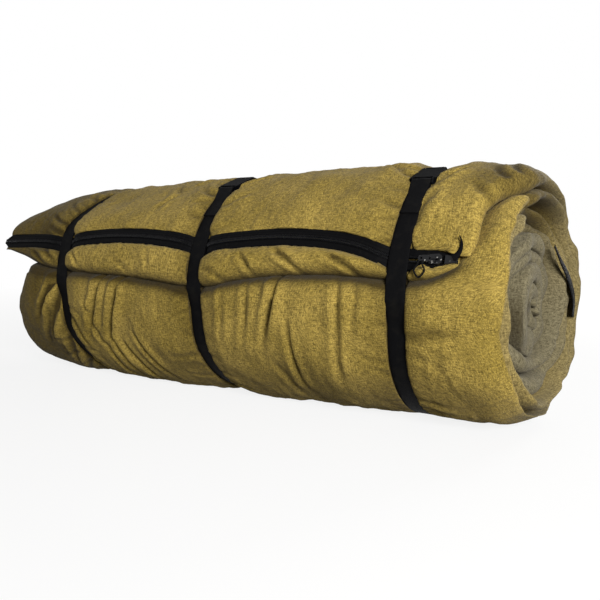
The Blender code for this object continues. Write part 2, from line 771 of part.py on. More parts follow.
def make_socket(side):
    frame = buckle_frame(side)
    half = BUCKLE_WIDTH / 2
    outline = [
        (-half + 0.003, SOCKET_END),
        (half - 0.003, SOCKET_END),
        (half, SOCKET_END + 0.004),
        (half, MOUTH),
        (-half, MOUTH),
        (-half, SOCKET_END + 0.004),
    ]
    body = prism("socket_" + side, "buckle", outline, 0.0, BUCKLE_THICKNESS, frame, bevel=0.0010)
    slot_low = SOCKET_END + BUCKLE_BAR
    slot = rectangle(-SLOT_WIDTH / 2, SLOT_WIDTH / 2, slot_low, slot_low + BUCKLE_SLOT)
    low, high = BUCKLE_WALL, BUCKLE_THICKNESS - BUCKLE_WALL
    inner = half - 0.0030
    cavity = rectangle(-inner, inner, slot_low + BUCKLE_SLOT + BUCKLE_WALL, MOUTH + 0.002)
    windows = rectangle(-half - 0.002, half + 0.002, MOUTH - 0.0215, MOUTH - 0.0075)
    bar = rectangle(-SLOT_WIDTH / 2, SLOT_WIDTH / 2, SOCKET_END - 0.002, slot_low + 0.0005)
    middle = BUCKLE_THICKNESS / 2
    cuts = (
        ("slot", slot, -0.01, 0.02),
        ("over_bar", bar, middle + BAR_HEIGHT / 2, 0.02),
        ("under_bar", bar, -0.01, middle - BAR_HEIGHT / 2),
        ("cavity", cavity, low, high),
        ("windows", windows, low, high),
    )
    for name, shape, bottom, top in cuts:
        cutter = prism(f"socket_{name}_{side}", "buckle", shape, bottom, top, frame)
        combine(body, cutter, "DIFFERENCE")


def make_plug(side):
    frame = buckle_frame(side)
    half = BUCKLE_WIDTH / 2
    start = MOUTH + WEBBING_GAP
    outline = [
        (-half, start),
        (half, start),
        (half, PLUG_END - 0.004),
        (half - 0.003, PLUG_END),
        (-half + 0.003, PLUG_END),
        (-half, PLUG_END - 0.004),
    ]
    body = prism("plug_" + side, "buckle", outline, 0.0004, BUCKLE_THICKNESS - 0.0004, frame, bevel=0.0010)
    slot_high = PLUG_END - BUCKLE_BAR
    slot = rectangle(-SLOT_WIDTH / 2, SLOT_WIDTH / 2, slot_high - BUCKLE_SLOT, slot_high)
    combine(body, prism(f"plug_slot_{side}", "buckle", slot, -0.01, 0.02, frame), "DIFFERENCE")
    bar = rectangle(-SLOT_WIDTH / 2, SLOT_WIDTH / 2, slot_high - 0.0005, PLUG_END + 0.002)
    middle = BUCKLE_THICKNESS / 2
    over = prism(f"plug_over_bar_{side}", "buckle", bar, middle + BAR_HEIGHT / 2, 0.02, frame)
    under = prism(f"plug_under_bar_{side}", "buckle", bar, -0.01, middle - BAR_HEIGHT / 2, frame)
    combine(body, over, "DIFFERENCE")
    combine(body, under, "DIFFERENCE")
    low, high = BUCKLE_WALL + CLEARANCE, BUCKLE_THICKNESS - BUCKLE_WALL - CLEARANCE
    tip = MOUTH - PRONG_LENGTH
    tongue = [(-0.0034, start + 0.002), (-0.0034, tip + 0.004), (-0.0022, tip), (0.0022, tip)]
    tongue += [(0.0034, tip + 0.004), (0.0034, start + 0.002)]
    combine(body, prism(f"plug_tongue_{side}", "buckle", tongue, low, high, frame), "UNION")
    for way, hand in ((-1.0, "a"), (1.0, "b")):
        arm = [
            (way * (half - 0.0082), start + 0.002),
            (way * (half - 0.0082), tip + 0.010),
            (way * (half - 0.0072), tip + 0.002),
            (way * (half - 0.0052), tip),
            (way * (half - 0.0006), tip + 0.005),
            (way * (half - 0.0002), MOUTH - 0.0085),
            (way * (half - 0.0048), MOUTH - 0.0084),
            (way * (half - 0.0048), start + 0.002),
        ]
        combine(body, prism(f"plug_arm_{hand}_{side}", "buckle", arm, low, high, frame), "UNION")


def make_end_tape():
    """A dark tape that lies against the right end, between two turns."""
    angles = np.linspace(58.0, 178.0, 9)
    radius = np.linspace(0.084, 0.104, 9)
    grids = []
    for x in (RIGHT_END + WEBBING_GAP + END_TAPE_THICKNESS, RIGHT_END + WEBBING_GAP):
        inner = place(x, angles, radius)
        outer = place(x, angles, radius + END_TAPE_WIDTH)
        grids.append(np.stack([inner, outer], 1))
    slab("end_tape", "webbing", *grids)


for old in list(bpy.data.objects):
    bpy.data.objects.remove(old)

make_top_canvas()
make_top_filling()
make_linings()
make_bottom_filling()
make_bottom_canvas()
make_tapes()
make_chains()
make_stop()
make_cord(make_pull(make_slider()))
for which in STRAP_PLACES:
    make_strap(which)
    make_socket(which)
    make_plug(which)
make_end_tape()
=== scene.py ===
"""A canvas sleeping bag, rolled up and strapped, with its zip across the front.

Metres, +Z up. The roll lies along X and its front looks towards -Y. Angles are in degrees
about the roll's axis: 0 is the front, 90 the top, and they grow inwards along the winding.
"""

import math

import bmesh
import bpy
import numpy as np
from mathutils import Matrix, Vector


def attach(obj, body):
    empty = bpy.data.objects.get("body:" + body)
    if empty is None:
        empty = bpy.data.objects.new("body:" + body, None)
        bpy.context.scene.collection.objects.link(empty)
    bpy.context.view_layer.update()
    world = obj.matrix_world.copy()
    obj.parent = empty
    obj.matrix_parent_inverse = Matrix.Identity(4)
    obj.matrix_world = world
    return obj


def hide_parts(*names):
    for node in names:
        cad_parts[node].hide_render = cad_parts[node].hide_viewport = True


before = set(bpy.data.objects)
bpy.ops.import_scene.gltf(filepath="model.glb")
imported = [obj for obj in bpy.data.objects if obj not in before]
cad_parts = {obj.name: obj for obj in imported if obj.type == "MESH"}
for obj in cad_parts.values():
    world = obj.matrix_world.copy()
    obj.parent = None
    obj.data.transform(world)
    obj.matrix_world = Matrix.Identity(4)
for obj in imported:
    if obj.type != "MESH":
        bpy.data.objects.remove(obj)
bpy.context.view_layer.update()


# The camera stands in front of the right strap, at three quarters of the roll's height, and
# looks to its left, so that the right end shows. A short telephoto lens, held level.

CAMERA_PLACE = (0.5761, -0.8409, 0.2519)
CAMERA_AIM = (-0.51577, 0.84975, -0.10907)
LENS = 38.18


def add_object(name, data):
    made = bpy.data.objects.new(name, data)
    bpy.context.scene.collection.objects.link(made)
    return made


camera = add_object("camera", bpy.data.cameras.new("camera"))
camera.data.lens = LENS
camera.data.sensor_width = 36.0
camera.data.clip_start = 0.01
camera.location = CAMERA_PLACE
camera.rotation_euler = Vector(CAMERA_AIM).to_track_quat("-Z", "Y").to_euler()
bpy.context.scene.camera = camera


# The studio: a pale floor that takes a soft shadow, a broad lamp in front on the right, weaker
# ones on the left and behind, and an even sky for fill.

FLOOR_HALF = 6.0
LAMPS = (
    ("front_lamp", (1.55, -1.45, 0.70), 0.7, 67.0),
    ("left_lamp", (-1.8, 0.7, 1.1), 1.2, 3.0),
    ("back_lamp", (0.6, 1.9, 0.8), 1.4, 36.0),
)
LAMPS_AIM = Vector((0.0, 0.0, 0.16))
WHITE = (1, 1, 1, 1)


def linear(hex_colour):
    """An sRGB hex value as the linear RGBA that shaders take."""
    parts = [int(hex_colour[i : i + 2], 16) / 255 for i in (1, 3, 5)]
    return [p / 12.92 if p <= 0.04045 else ((p + 0.055) / 1.055) ** 2.4 for p in parts] + [1.0]


def add_node(material, kind, inputs=None, out=0, **settings):
    """Adds a node with its settings, fills its inputs with values or sockets, gives an output."""
    node = material.node_tree.nodes.new("ShaderNode" + kind)
    for key, value in settings.items():
        setattr(node, key, value)
    for key, value in (inputs or {}).items():
        if isinstance(value, bpy.types.NodeSocket):
            material.node_tree.links.new(value, node.inputs[key])
        else:
            node.inputs[key].default_value = value
    return node.outputs[out] if node.outputs else node


def new_material(name):
    material = bpy.data.materials.new(name)
    material.use_nodes = True
    material.node_tree.nodes.clear()
    return material


def camera_sees(material):
    """1 where the camera looks straight at a surface, or by way of a mirror or glass."""
    seen = add_node(material, "LightPath", out="Is Camera Ray")
    rays = seen.node.outputs
    for ray in ("Is Glossy Ray", "Is Transmission Ray"):
        seen = add_node(material, "Math", {0: seen, 1: rays[ray]}, operation="MAXIMUM")
    return seen


def make_floor():
    """Paper that the camera sees pale, paler with distance, and that bounces a duller tint."""
    mesh = bpy.data.meshes.new("floor")
    corners = [(FLOOR_HALF * x, FLOOR_HALF * y, 0.0) for x, y in ((-1, -1), (1, -1), (1, 1), (-1, 1))]
    mesh.from_pydata(corners, [], [(0, 1, 2, 3)])
    floor = add_object("floor", mesh)
    paper = new_material("pale_paper")
    bounce = {"Factor": camera_sees(paper), "A": linear("#4A4743"), "B": linear("#F2F1EE")}
    tint = add_node(paper, "Mix", bounce, "Result", data_type="RGBA")
    matt = add_node(paper, "BsdfDiffuse", {"Color": tint})
    glow = add_node(paper, "Emission", {"Color": WHITE, "Strength": 1.0})
    place = add_node(paper, "TexCoord", out="Object")
    away = add_node(paper, "VectorMath", {0: place}, "Value", operation="LENGTH")
    far = {"Value": away, "From Min": 0.7, "From Max": 2.2, "To Min": 0.84, "To Max": 1.0}
    white = add_node(paper, "MapRange", far)
    share = add_node(paper, "Math", {0: camera_sees(paper), 1: white}, operation="MULTIPLY")
    mixed = add_node(paper, "MixShader", {0: share, 1: matt, 2: glow})
    add_node(paper, "OutputMaterial", {"Surface": mixed})
    mesh.materials.append(paper)
    return floor


def make_sky():
    """A dim, even fill, which the camera and mirrors see as white."""
    sky = bpy.data.worlds.new("studio_sky")
    sky.use_nodes = True
    sky.node_tree.nodes.clear()
    fill = add_node(sky, "Background", {"Color": linear("#F4F6FA"), "Strength": 0.13})
    white = add_node(sky, "Background", {"Color": WHITE, "Strength": 1.0})
    mixed = add_node(sky, "MixShader", {0: camera_sees(sky), 1: fill, 2: white})
    add_node(sky, "OutputWorld", {"Surface": mixed})
    return sky


floor = make_floor()
bpy.context.scene.world = make_sky()
for name, place, size, watts in LAMPS:
    lamp = add_object(name, bpy.data.lights.new(name, "AREA"))
    lamp.data.size = size
    lamp.data.energy = watts
    lamp.location = place
    lamp.rotation_euler = (LAMPS_AIM - Vector(place)).to_track_quat("-Z", "Y").to_euler()
bpy.context.scene.view_settings.view_transform = "Standard"


# The cord loop is 2 mm braided polyester, black. It passes through the eye of the pull tab
# and lies in a narrow U on the lip, beside the right strap.

ZIP_TURN = 20.5
PIVOT_X, PIVOT_RADIUS = 0.3350, 0.1629
AXIS_Z = 0.1635
# From the pull's hinge pin: along the roll, up its skin, and out of it
EYE = (-0.0158, 0.0, 0.0006)
LOOP_ROUTE = (
    (0.0022, -0.0036, 0.0015),
    (0.0030, -0.0085, 0.0016),
    (0.0062, -0.0155, 0.0010),
    (0.0000, -0.0232, 0.0004),
    (-0.0062, -0.0155, 0.0010),
    (-0.0030, -0.0085, 0.0016),
    (-0.0022, -0.0036, 0.0015),
)


def by_slider(points):
    """Points given along the roll, up its skin and out of it, from the pull's hinge pin."""
    a = math.radians(ZIP_TURN)
    out = np.array([0.0, -math.cos(a), math.sin(a)])
    up = np.array([0.0, math.sin(a), math.cos(a)])
    pin = np.array([PIVOT_X, 0.0, AXIS_Z]) + PIVOT_RADIUS * out
    return pin + points[:, :1] * (1.0, 0.0, 0.0) + points[:, 1:2] * up + points[:, 2:] * out


def curve_through(points, steps):
    """A Catmull-Rom curve: between two points, a cubic whose slopes come from their neighbours."""
    points = np.array(points)
    p = np.vstack([2 * points[0] - points[1], points, 2 * points[-1] - points[-2]])
    t = np.linspace(0, 1, steps, endpoint=False)[None, :, None]
    a, b, c, d = (p[k : len(p) - 3 + k][:, None] for k in range(4))
    bend, twist = 2 * a - 5 * b + 4 * c - d, 3 * b - a - 3 * c + d
    curve = 0.5 * (2 * b + (c - a) * t + bend * t**2 + twist * t**3)
    return np.vstack([curve.reshape(-1, points.shape[1]), points[-1:]])


def lay_colours(material, ground, *layers):
    """Colours laid over a ground, each by how far a value lies between two limits.

    A layer is the value, its limits, the shares at them, and the colour. The colour that
    results is given, with the last layer's share.
    """
    colour = linear(ground)
    for value, low, high, least, most, over in layers:
        limits = {"Value": value, "From Min": low, "From Max": high, "To Min": least, "To Max": most}
        share = add_node(material, "MapRange", limits)
        mix = {"Factor": share, "A": colour, "B": linear(over)}
        colour = add_node(material, "Mix", mix, "Result", data_type="RGBA")
    return colour, share


def end_material(material, inputs):
    """Adds the surface shader with its inputs, and the output."""
    shader = add_node(material, "BsdfPrincipled", inputs)
    add_node(material, "OutputMaterial", {"Surface": shader})
    return material


def braided_cord():
    """Braided polyester, black: 0.6 mm plaits, so a fine bump and almost no gloss."""
    braid = new_material("braided_polyester_cord")
    place = add_node(braid, "TexCoord", out="Object")
    plaits = add_node(braid, "TexVoronoi", {"Vector": place, "Scale": 1600.0})
    colour, _ = lay_colours(braid, "#0A0A0C", (plaits, 0.0, 0.7, 0.0, 1.0, "#030303"))
    bump = add_node(braid, "Bump", {"Height": plaits, "Strength": 0.5, "Distance": 0.0002})
    inputs = {"Base Color": colour, "Roughness": 0.75, "Normal": bump}
    return end_material(braid, inputs | {"Specular IOR Level": 0.08})


route = by_slider(curve_through(LOOP_ROUTE, 5) + EYE)
loop = bpy.data.curves.new("cord_loop", "CURVE")
loop.dimensions = "3D"
loop.bevel_depth = 0.001
loop.bevel_resolution = 3
loop.use_fill_caps = True
spline = loop.splines.new("POLY")
spline.points.add(len(route) - 1)
spline.points.foreach_set("co", np.column_stack([route, np.ones(len(route))]).ravel())
loop.materials.append(braided_cord())
cord = add_object("cord_loop", loop)
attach(cord, "pull")
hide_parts("pull_cord")


# The upper quilt is canvas over hollow fibre, brushed cotton inside. It is wound with its
# canvas outwards, from the zip on the front, over the top and round, to the core.
# Three straps draw it in, and it swells between them and is pinched at its sewn ends.

STRAPS = (-0.289, -0.011, 0.291)
STRAP_WIDTH = 0.025
GROOVE = 0.160
WOUND = 0.168
TURNS = (0.044, 0.039, 0.034)
CORE = 0.026
CORE_HOLLOW = 0.0030
CORE_END = 1312.5
CREASE = 7.5
GROUND_GAP = 0.0004
TURN_GAP = 0.0005
# The lower quilt's share of the two quilts' thickness
LOWER_SHARE = 0.46

# The bag's ends, in mm by angle: the foot edge reaches further left, and the right end slants
LEFT_EDGE = np.array([
    (24, -441), (35, -432), (45, -424), (60, -416), (90, -412), (180, -420), (250, -426),
    (300, -435), (318, -431), (333, -428), (345, -420), (358, -398), (372, -380), (384, -372),
    (430, -392), (700, -400), (1312, -392),
]) / (1, 1000)
RIGHT_EDGE = np.array([
    (24, 364), (28, 373), (34, 380), (42, 381), (51, 383), (57, 391), (62, 405), (68, 418),
    (76, 424), (95, 426), (133, 433), (160, 441), (185, 446), (210, 444), (235, 437), (262, 432),
    (290, 428), (320, 417), (352, 412), (380, 412), (400, 413), (425, 411), (440, 402), (465, 400),
    (485, 416), (502, 427), (520, 433), (545, 439), (570, 437), (600, 428), (650, 414), (690, 394),
    (727, 391), (760, 405), (800, 413), (860, 414), (900, 412), (940, 413), (980, 412), (1080, 414),
    (1160, 417), (1312, 418),
]) / (1, 1000)
# How much of each end is taken up by its rounding, in mm by angle
LEFT_NOSE = np.array([
    (24, 10), (40, 34), (60, 48), (180, 50), (300, 40), (345, 44), (1312, 50),
]) / (1, 1000)
RIGHT_NOSE = np.array([
    (24, 10), (34, 13), (70, 17), (95, 22), (133, 32), (185, 34), (230, 46), (262, 56), (290, 50),
    (320, 42), (352, 36), (380, 30), (440, 20), (520, 24), (640, 18), (727, 9), (900, 6), (1312, 6),
]) / (1, 1000)

# The zip's angle, by mm along X
ZIP_LINE = np.array([
    (-441, 24.4), (-340, 24.9), (-289, 24.5), (-250, 26.6), (-150, 28.6), (-52, 26.4), (-11, 24.5),
    (41, 26.3), (140, 28.4), (239, 24.8), (278, 20.9), (304, 20.5), (364, 20.5),
]) / (1000, 1)
HALF_ZIP = 4.25
# The angle at which the zip takes the skin's swell and the straps' places
ZIP_LEVEL = 24.0
# The hems close in round the stop, and meet past it
HEM_CLOSES = ((0.342, 0.0), (0.350, 1.6), (0.356, 2.3), (0.366, 2.9))

# How far the skin stands out of the straps' grooves, in mm, by angle and by place along X:
# taut over the front, high on top at the right, and pressed flat underneath
SWELL_X = (-0.44, -0.36, -0.25, -0.15, -0.05, 0.06, 0.15, 0.25, 0.33, 0.39, 0.44)
SWELL = (
    (20, (10, 11, 11, 11, 11, 11, 11, 11, 3, 3, 3)),
    (32, (9, 11, 12, 11, 11, 11, 12, 12, 4, 4, 4)),
    (50, (6, 10, 13, 12, 12, 12, 13, 13, 10, 9, 9)),
    (70, (4, 9, 13, 13, 13, 14, 16, 17, 15, 11, 6)),
    (88, (2, 8, 12, 13, 13, 14, 18, 19, 17, 10, -3)),
    (115, (6, 9, 11, 12, 12, 13, 15, 16, 14, 10, -4)),
    (180, (9, 10, 11, 11, 11, 11, 11, 11, 11, 10, 9)),
    (240, (9, 10, 11, 12, 11, 11, 10, 9, 9, 6, 0)),
    (268, (9, 10, 11, 12, 11, 11, 9, 7, 6, 0, -13)),
    (288, (9, 11, 14, 13, 11, 10, 7, 4, 4, 0, -14)),
    (306, (10, 12, 16, 14, 11, 11, 9, 7, 8, 5, -6)),
    (330, (10, 12, 14, 13, 13, 13, 13, 13, 12, 10, 4)),
    (352, (12, 16, 17, 17, 16, 16, 16, 16, 15, 12, 8)),
)
# The angle of the lip's lower edge, by mm along X: it runs out to nothing at the left corner
LIP_EDGE = np.array([
    (-441, 20), (-420, 19), (-400, 17.4), (-380, 15.2), (-360, 12.6), (-335, 10.4), (-289, 8.6),
    (-233, 7.6), (-160, 7), (-93, 5.4), (-30, 3.4), (7, 3.6), (51, 7.4), (118, 10.8), (165, 12),
    (213, 12.4), (248, 12), (291, 11.2), (323, 12), (338, 13.6), (352, 15.6), (364, 18),
]) / (1000, 1)

# The roll has slumped a little along its top at the left, in mm by place along X
SLUMP = ((-0.44, 15), (-0.40, 14), (-0.36, 11), (-0.30, 9), (-0.20, 11), (-0.10, 5), (-0.03, 0))


def through(x, knots):
    """A smooth curve through the knots: cubic between each two, its slopes from the neighbours."""
    kx, ky = np.array(knots, float).T
    slope = np.gradient(ky, kx)
    x = np.clip(x, kx[0], kx[-1])
    i = np.clip(np.searchsorted(kx, x) - 1, 0, len(kx) - 2)
    step = kx[i + 1] - kx[i]
    t = (x - kx[i]) / step
    return (
        (2 * t**3 - 3 * t**2 + 1) * ky[i]
        + (t**3 - 2 * t**2 + t) * step * slope[i]
        + (3 * t**2 - 2 * t**3) * ky[i + 1]
        + (t**3 - t**2) * step * slope[i + 1]
    )


def ease(low, high, value):
    """0 below low, 1 above high, and a smooth step between."""
    t = np.clip((value - low) / (high - low), 0.0, 1.0)
    return t * t * (3 - 2 * t)


def hump(value, middle, width):
    """1 at the middle, falling on both sides as a bell."""
    return np.exp(-(((value - middle) / width) ** 2))


def on_roll(x, angle, radius):
    """Points at a radius from the roll's axis, at angles up from the front."""
    x, a, radius = np.broadcast_arrays(x, np.radians(angle), radius)
    return np.stack([x, -radius * np.cos(a), AXIS_Z + radius * np.sin(a)], -1)


def strap_centre(place, angle):
    """A strap's middle along X: the left one is dragged aside where it crosses the zip."""
    return place - (0.006 * hump(angle, 33.0, 11.0) if place < -0.2 else 0.0)


def from_strap(x, angle):
    """The distance to the nearest strap's edge, and 0 under a strap."""
    near = np.min([np.abs(x - strap_centre(s, angle)) for s in STRAPS], axis=0)
    return np.maximum(near - STRAP_WIDTH / 2, 0.0)


def free(x, angle, reach):
    """0 under a strap and towards 1 away from it, over a given reach."""
    return 1.0 - np.exp(-from_strap(x, angle) / reach)


def lumps(x, y, size, seed):
    """Smooth lumps between -1 and 1: random heights on a square lattice, blended smoothly."""
    lattice = np.random.default_rng(seed).uniform(-1, 1, (64, 64))
    u, v = np.broadcast_arrays(x / size + 31.7, y / size + 17.3)
    i, j = np.floor(u).astype(int), np.floor(v).astype(int)
    fu, fv = ease(0, 1, u - i), ease(0, 1, v - j)
    a, b, c, d = (lattice[(i + p) % 64, (j + q) % 64] for q in (0, 1) for p in (0, 1))
    return (a * (1 - fu) + b * fu) * (1 - fv) + (c * (1 - fu) + d * fu) * fv


def swell(x, angle):
    """How far the cloth stands out of the grooves: a steep rise at a strap's edge, then level."""
    places, angles = np.array(SWELL_X), np.array([a for a, _ in SWELL], float)
    table = np.array([row for _, row in SWELL], float)
    x, angle = np.broadcast_arrays(x, angle)
    i = np.clip(np.searchsorted(places, x) - 1, 0, len(places) - 2)
    j = np.clip(np.searchsorted(angles, angle) - 1, 0, len(angles) - 2)
    fx = ease(places[i], places[i + 1], x)
    fa = ease(angles[j], angles[j + 1], angle)
    low, high = (table[k, i] * (1 - fx) + table[k, i + 1] * fx for k in (j, j + 1))
    return (low * (1 - fa) + high * fa) / 1000 * free(x, angle, 0.011) ** 0.75


def groove(x, angle):
    """The skin's radius at the bottom of a strap's groove: slumped on top at the left."""
    slump = through(x, SLUMP) / 1000 * ease(34, 62, angle) * (1 - ease(84, 99, angle))
    return GROOVE - slump - 0.007 * ease(330.0, 352.5, angle)


def winding_radius(angle):
    """The inner turns' outer radius: level round each turn, with a step down at its end."""
    edge, level = WOUND - TURNS[0] * 0.84, WOUND - TURNS[0]
    knots = (
        (CREASE + 360, edge),
        (CREASE + 405, level),
        (CREASE + 645, level),
        (CREASE + 720, edge - TURNS[1]),
        (CREASE + 765, level - TURNS[1]),
        (CREASE + 900, level - TURNS[1]),
        (CREASE + 1080, edge - TURNS[1] - TURNS[2]),
        (CORE_END, CORE + CORE_HOLLOW),
    )
    return np.interp(angle, *zip(*knots))


def under_lip(x, angle):
    """0 on the skin, 1 once it has sunk in below the lip's lower edge, where it goes inwards."""
    edge = through(x, LIP_EDGE) + 360.0
    return ease(edge - 4.5, edge + 6.0, angle)


def puff(x, angle):
    """Where the foot edge leaves the second turn free, at the right end, that turn swells out."""
    beyond = through(np.clip(angle - 360.0, 24, 200), RIGHT_EDGE)
    rise = np.interp(angle, (340.0, 368.0, 392.0, 425.0, 470.0), (0.0, 0.027, 0.031, 0.027, 0.0))
    return ease(-0.045, 0.018, x - beyond) * rise


def inner_radius(x, angle):
    """The inside of the two quilts together: on the next turn, or closed on itself at the core."""
    last = winding_radius(CORE_END) + TURN_GAP
    core = last + (0.002 - last) * ease(CORE_END - 360, CORE_END - 330, angle)
    on_next = winding_radius(angle + 360) + TURN_GAP
    return np.where(angle + 360 <= CORE_END, on_next, core) + puff(x, angle) * 0.9


def middle_radius(x, angle):
    """Where the two quilts meet, lining to lining."""
    low = inner_radius(x, angle)
    high = np.where(angle < CREASE + 359, GROOVE, winding_radius(angle) + puff(x, angle))
    return low + LOWER_SHARE * (high - low)


# Folds in the canvas, which hang below the lip and fan out from the straps. Each has its start
# and its end, in mm along X and by angle, and then its half width and its depth in mm.
FOLD_UNITS = (1000, 1, 1000, 1, 1000, 1000)
FOLDS = np.array([
    (-188.5, 371, -240, 326, 5.6, 8.5), (-145, 371, -204, 322, 5.6, 9.5),
    (-230, 352, -206, 318, 5, 3.4), (-188, 334, -168, 296, 5, 4.6), (-208, 330, -196, 294, 4.6, 4),
    (-164, 330, -136, 292, 5, 4.2), (-132, 336, -100, 300, 5.5, 3.2), (42, 364, 36, 334, 5, 2.4),
    (84, 368, 72, 330, 5, 2.8), (132, 374, 104, 334, 5.4, 7), (146, 352, 150, 306, 4.4, 3.6),
    (218, 371, 212, 312, 5, 3.8), (240, 369, 238, 340, 5, 2.2), (118, 330, 140, 296, 6, 1.6),
    (-302, 368, -352, 338, 4.4, 7), (-306, 352, -342, 320, 5, 5.6),
    (-320, 346, -358, 318, 5.5, 4.4), (-306, 328, -334, 298, 5, 4), (-306, 308, -340, 288, 5, 3),
    (-272, 344, -244, 320, 5.5, 3.2), (-272, 318, -236, 292, 5.5, 2.6),
    (-106, 62, -136, 78, 6.5, 3.4), (-86, 70, -64, 84, 5.5, 3), (-120, 46, -98, 62, 7, 2.4),
    (-30, 56, -70, 66, 6, 3), (-30, 40, -62, 44, 6, 2), (6, 60, 52, 76, 6, 3.4),
    (6, 46, 50, 58, 6, 2.4), (274, 66, 226, 80, 6, 3.2), (270, 74, 190, 84, 6, 2.6),
    (274, 44, 244, 50, 5, 2.2), (308, 36, 318, 60, 5, 3), (308, 58, 344, 76, 6, 3),
    (396, 62, 366, 76, 6, 2.8), (406, 68, 384, 82, 5, 2.4), (386, 50, 350, 60, 6, 2.6),
    (-304, 36, -356, 44, 4, 2.8), (-306, 47, -350, 60, 4.5, 2.2), (-304, 60, -334, 82, 4.5, 1.8),
    (-305, 30, -345, 35, 3.5, 2.6), (-305, 41, -336, 52, 3.2, 2), (308, 300, 352, 306, 8, 1.8),
    (308, 346, 378, 353, 9, 3.4),
]) / FOLD_UNITS


def fold_line(x, arc, start, end, half, depth):
    """One fold: a valley along a line, deepest near its start, with a low ridge on both sides."""
    a = np.array([start[0], math.radians(start[1]) * GROOVE])
    b = np.array([end[0], math.radians(end[1]) * GROOVE])
    length = float(np.hypot(*(b - a)))
    along = (b - a) / length
    u, v = x - a[0], arc - a[1]
    s = (u * along[0] + v * along[1]) / length
    off = (u * along[1] - v * along[0]) / half + 0.35 * np.sin(s * 5.0)
    fade = ease(-0.12, 0.10, s) * (1 - ease(0.45, 1.05, s))
    return 1.25 * depth * fade * (np.exp(-(off**2) * 1.9) - 0.5 * np.exp(-((np.abs(off) - 1.7) ** 2) * 1.1))


def fold_field(x, angle, folds):
    """A table's folds added up, over the distance along X and round the skin."""
    arc = np.radians(angle) * GROOVE
    return sum(fold_line(x, arc, fold[:2], fold[2:4], *fold[4:]) for fold in folds)


def gathers(x, angle):
    """Small folds that run out from the straps' edges, uneven in place, length and tilt."""
    rng = np.random.default_rng(12)
    total = np.zeros(x.shape)
    for strap, strength in zip(STRAPS, (0.8, 0.7, 0.7)):
        for side in (-1.0, 1.0):
            at = 30.0
            while at < 358.0:
                length, tilt = rng.uniform(0.018, 0.060), rng.uniform(-9.0, 9.0)
                half, depth = rng.uniform(3.0, 6.0) / 1000, rng.uniform(0.5, 2.2) / 1000
                edge = strap_centre(strap, at) + side * (STRAP_WIDTH / 2 - 0.002)
                rows = np.nonzero(np.any(np.abs(angle - at) < 14.0, axis=1))[0]
                band = slice(rows[0], rows[-1] + 1) if len(rows) else slice(0, 0)
                ends = ((edge, at), (edge + side * length, at + tilt))
                arc = np.radians(angle[band]) * GROOVE
                total[band] += fold_line(x[band], arc, *ends, half, depth * strength)
                at += rng.uniform(6.0, 16.0)
    return total


def canvas_relief(x, angle):
    """The cloth's own shape on top of the swell: folds, gathers and the filling's soft lumps."""
    arc = np.radians(angle) * GROOVE
    filling = 0.0022 * lumps(x, arc, 0.060, 3) + 0.0016 * lumps(x * 1.3 + arc * 0.2, arc * 0.7, 0.024, 4)
    filling += 0.0008 * lumps(x * 1.4, arc * 0.55, 0.010, 5)
    return free(x, angle, 0.012) * filling - fold_field(x, angle, FOLDS) - gathers(x, angle)


def off_ground(angle, gap):
    """The radius at which the roll's underside lies on the ground, with a gap under it."""
    return (AXIS_Z - gap) / np.maximum(-np.sin(np.radians(angle)), 0.2)


def skin_radius(x, angle):
    """The outermost turn's radius: grooves, swell, relief, and flat where it lies on the ground."""
    radius = groove(x, angle) + swell(x, angle) + free(x, angle, 0.004) * canvas_relief(x, angle)
    return np.minimum(radius, off_ground(angle, GROUND_GAP))


def zip_angle(x):
    """The angle of the zip's line at a place along X."""
    return through(x, ZIP_LINE)


def half_zip(x):
    """The angle from the zip's line to a hem: level, and less at the right end."""
    return HALF_ZIP - np.interp(x, *zip(*HEM_CLOSES))


def seam_valley(x, away):
    """Beside the zip the canvas is stitched down: lowest at its edge, with small puckers."""
    pucker = 1.0 + 0.5 * lumps(x, away * 0.3, 0.006, 21)
    strapped = 0.0082 * np.exp(-from_strap(x, ZIP_LEVEL) / 0.0070)
    return (0.0030 * pucker + strapped) * np.exp(-np.abs(away) / 0.0050)


# A section is a closed loop: half of the inner face, the left nose, the outer face from left
# to right, the right nose, and the rest of the inner face. Its outer face has close rows
# beside the straps and wider ones between.
NOSE_ROWS, INSIDE_ROWS, END_ROWS, BAY_ROWS = 16, 12, 26, 60
OUTER, RIGHT_NOSED, INNER, LEFT_NOSED = range(4)


def middle_places():
    """Places along X from the left strap's left side to the right strap's right side."""
    edge = np.array([-4.0, -1.5, 0.0, 1.2, 2.4, 3.7, 5.2, 7.0, 9.2, 12.0, 15.5]) / 1000
    half = STRAP_WIDTH / 2
    near = [s + side * (half + edge) for s in STRAPS for side in (-1.0, 1.0)]
    gap = half + 0.019
    bays = [np.linspace(low + gap, high - gap, BAY_ROWS) for low, high in zip(STRAPS, STRAPS[1:])]
    return np.sort(np.concatenate(near + bays))


def section_rows():
    """The kind of each row of a section and how far along that part it is."""
    outer = 2 * END_ROWS + len(MIDDLE_PLACES)
    half = np.linspace(0.5, 1.0, INSIDE_ROWS)
    nose = np.linspace(0, 1, NOSE_ROWS + 2)[1:-1]
    order = [INNER, LEFT_NOSED, OUTER, RIGHT_NOSED, INNER]
    kinds = np.repeat(order, [INSIDE_ROWS, NOSE_ROWS, outer, NOSE_ROWS, INSIDE_ROWS])
    along = np.concatenate([half, nose, np.linspace(0, 1, outer), nose, 1.0 - half[::-1]])
    return kinds, along


MIDDLE_PLACES = middle_places()
ROW_KIND, ROW_ALONG = section_rows()
OUTER_ROWS = np.nonzero(ROW_KIND == OUTER)[0]
ON_NOSE = (ROW_KIND == RIGHT_NOSED) | (ROW_KIND == LEFT_NOSED)


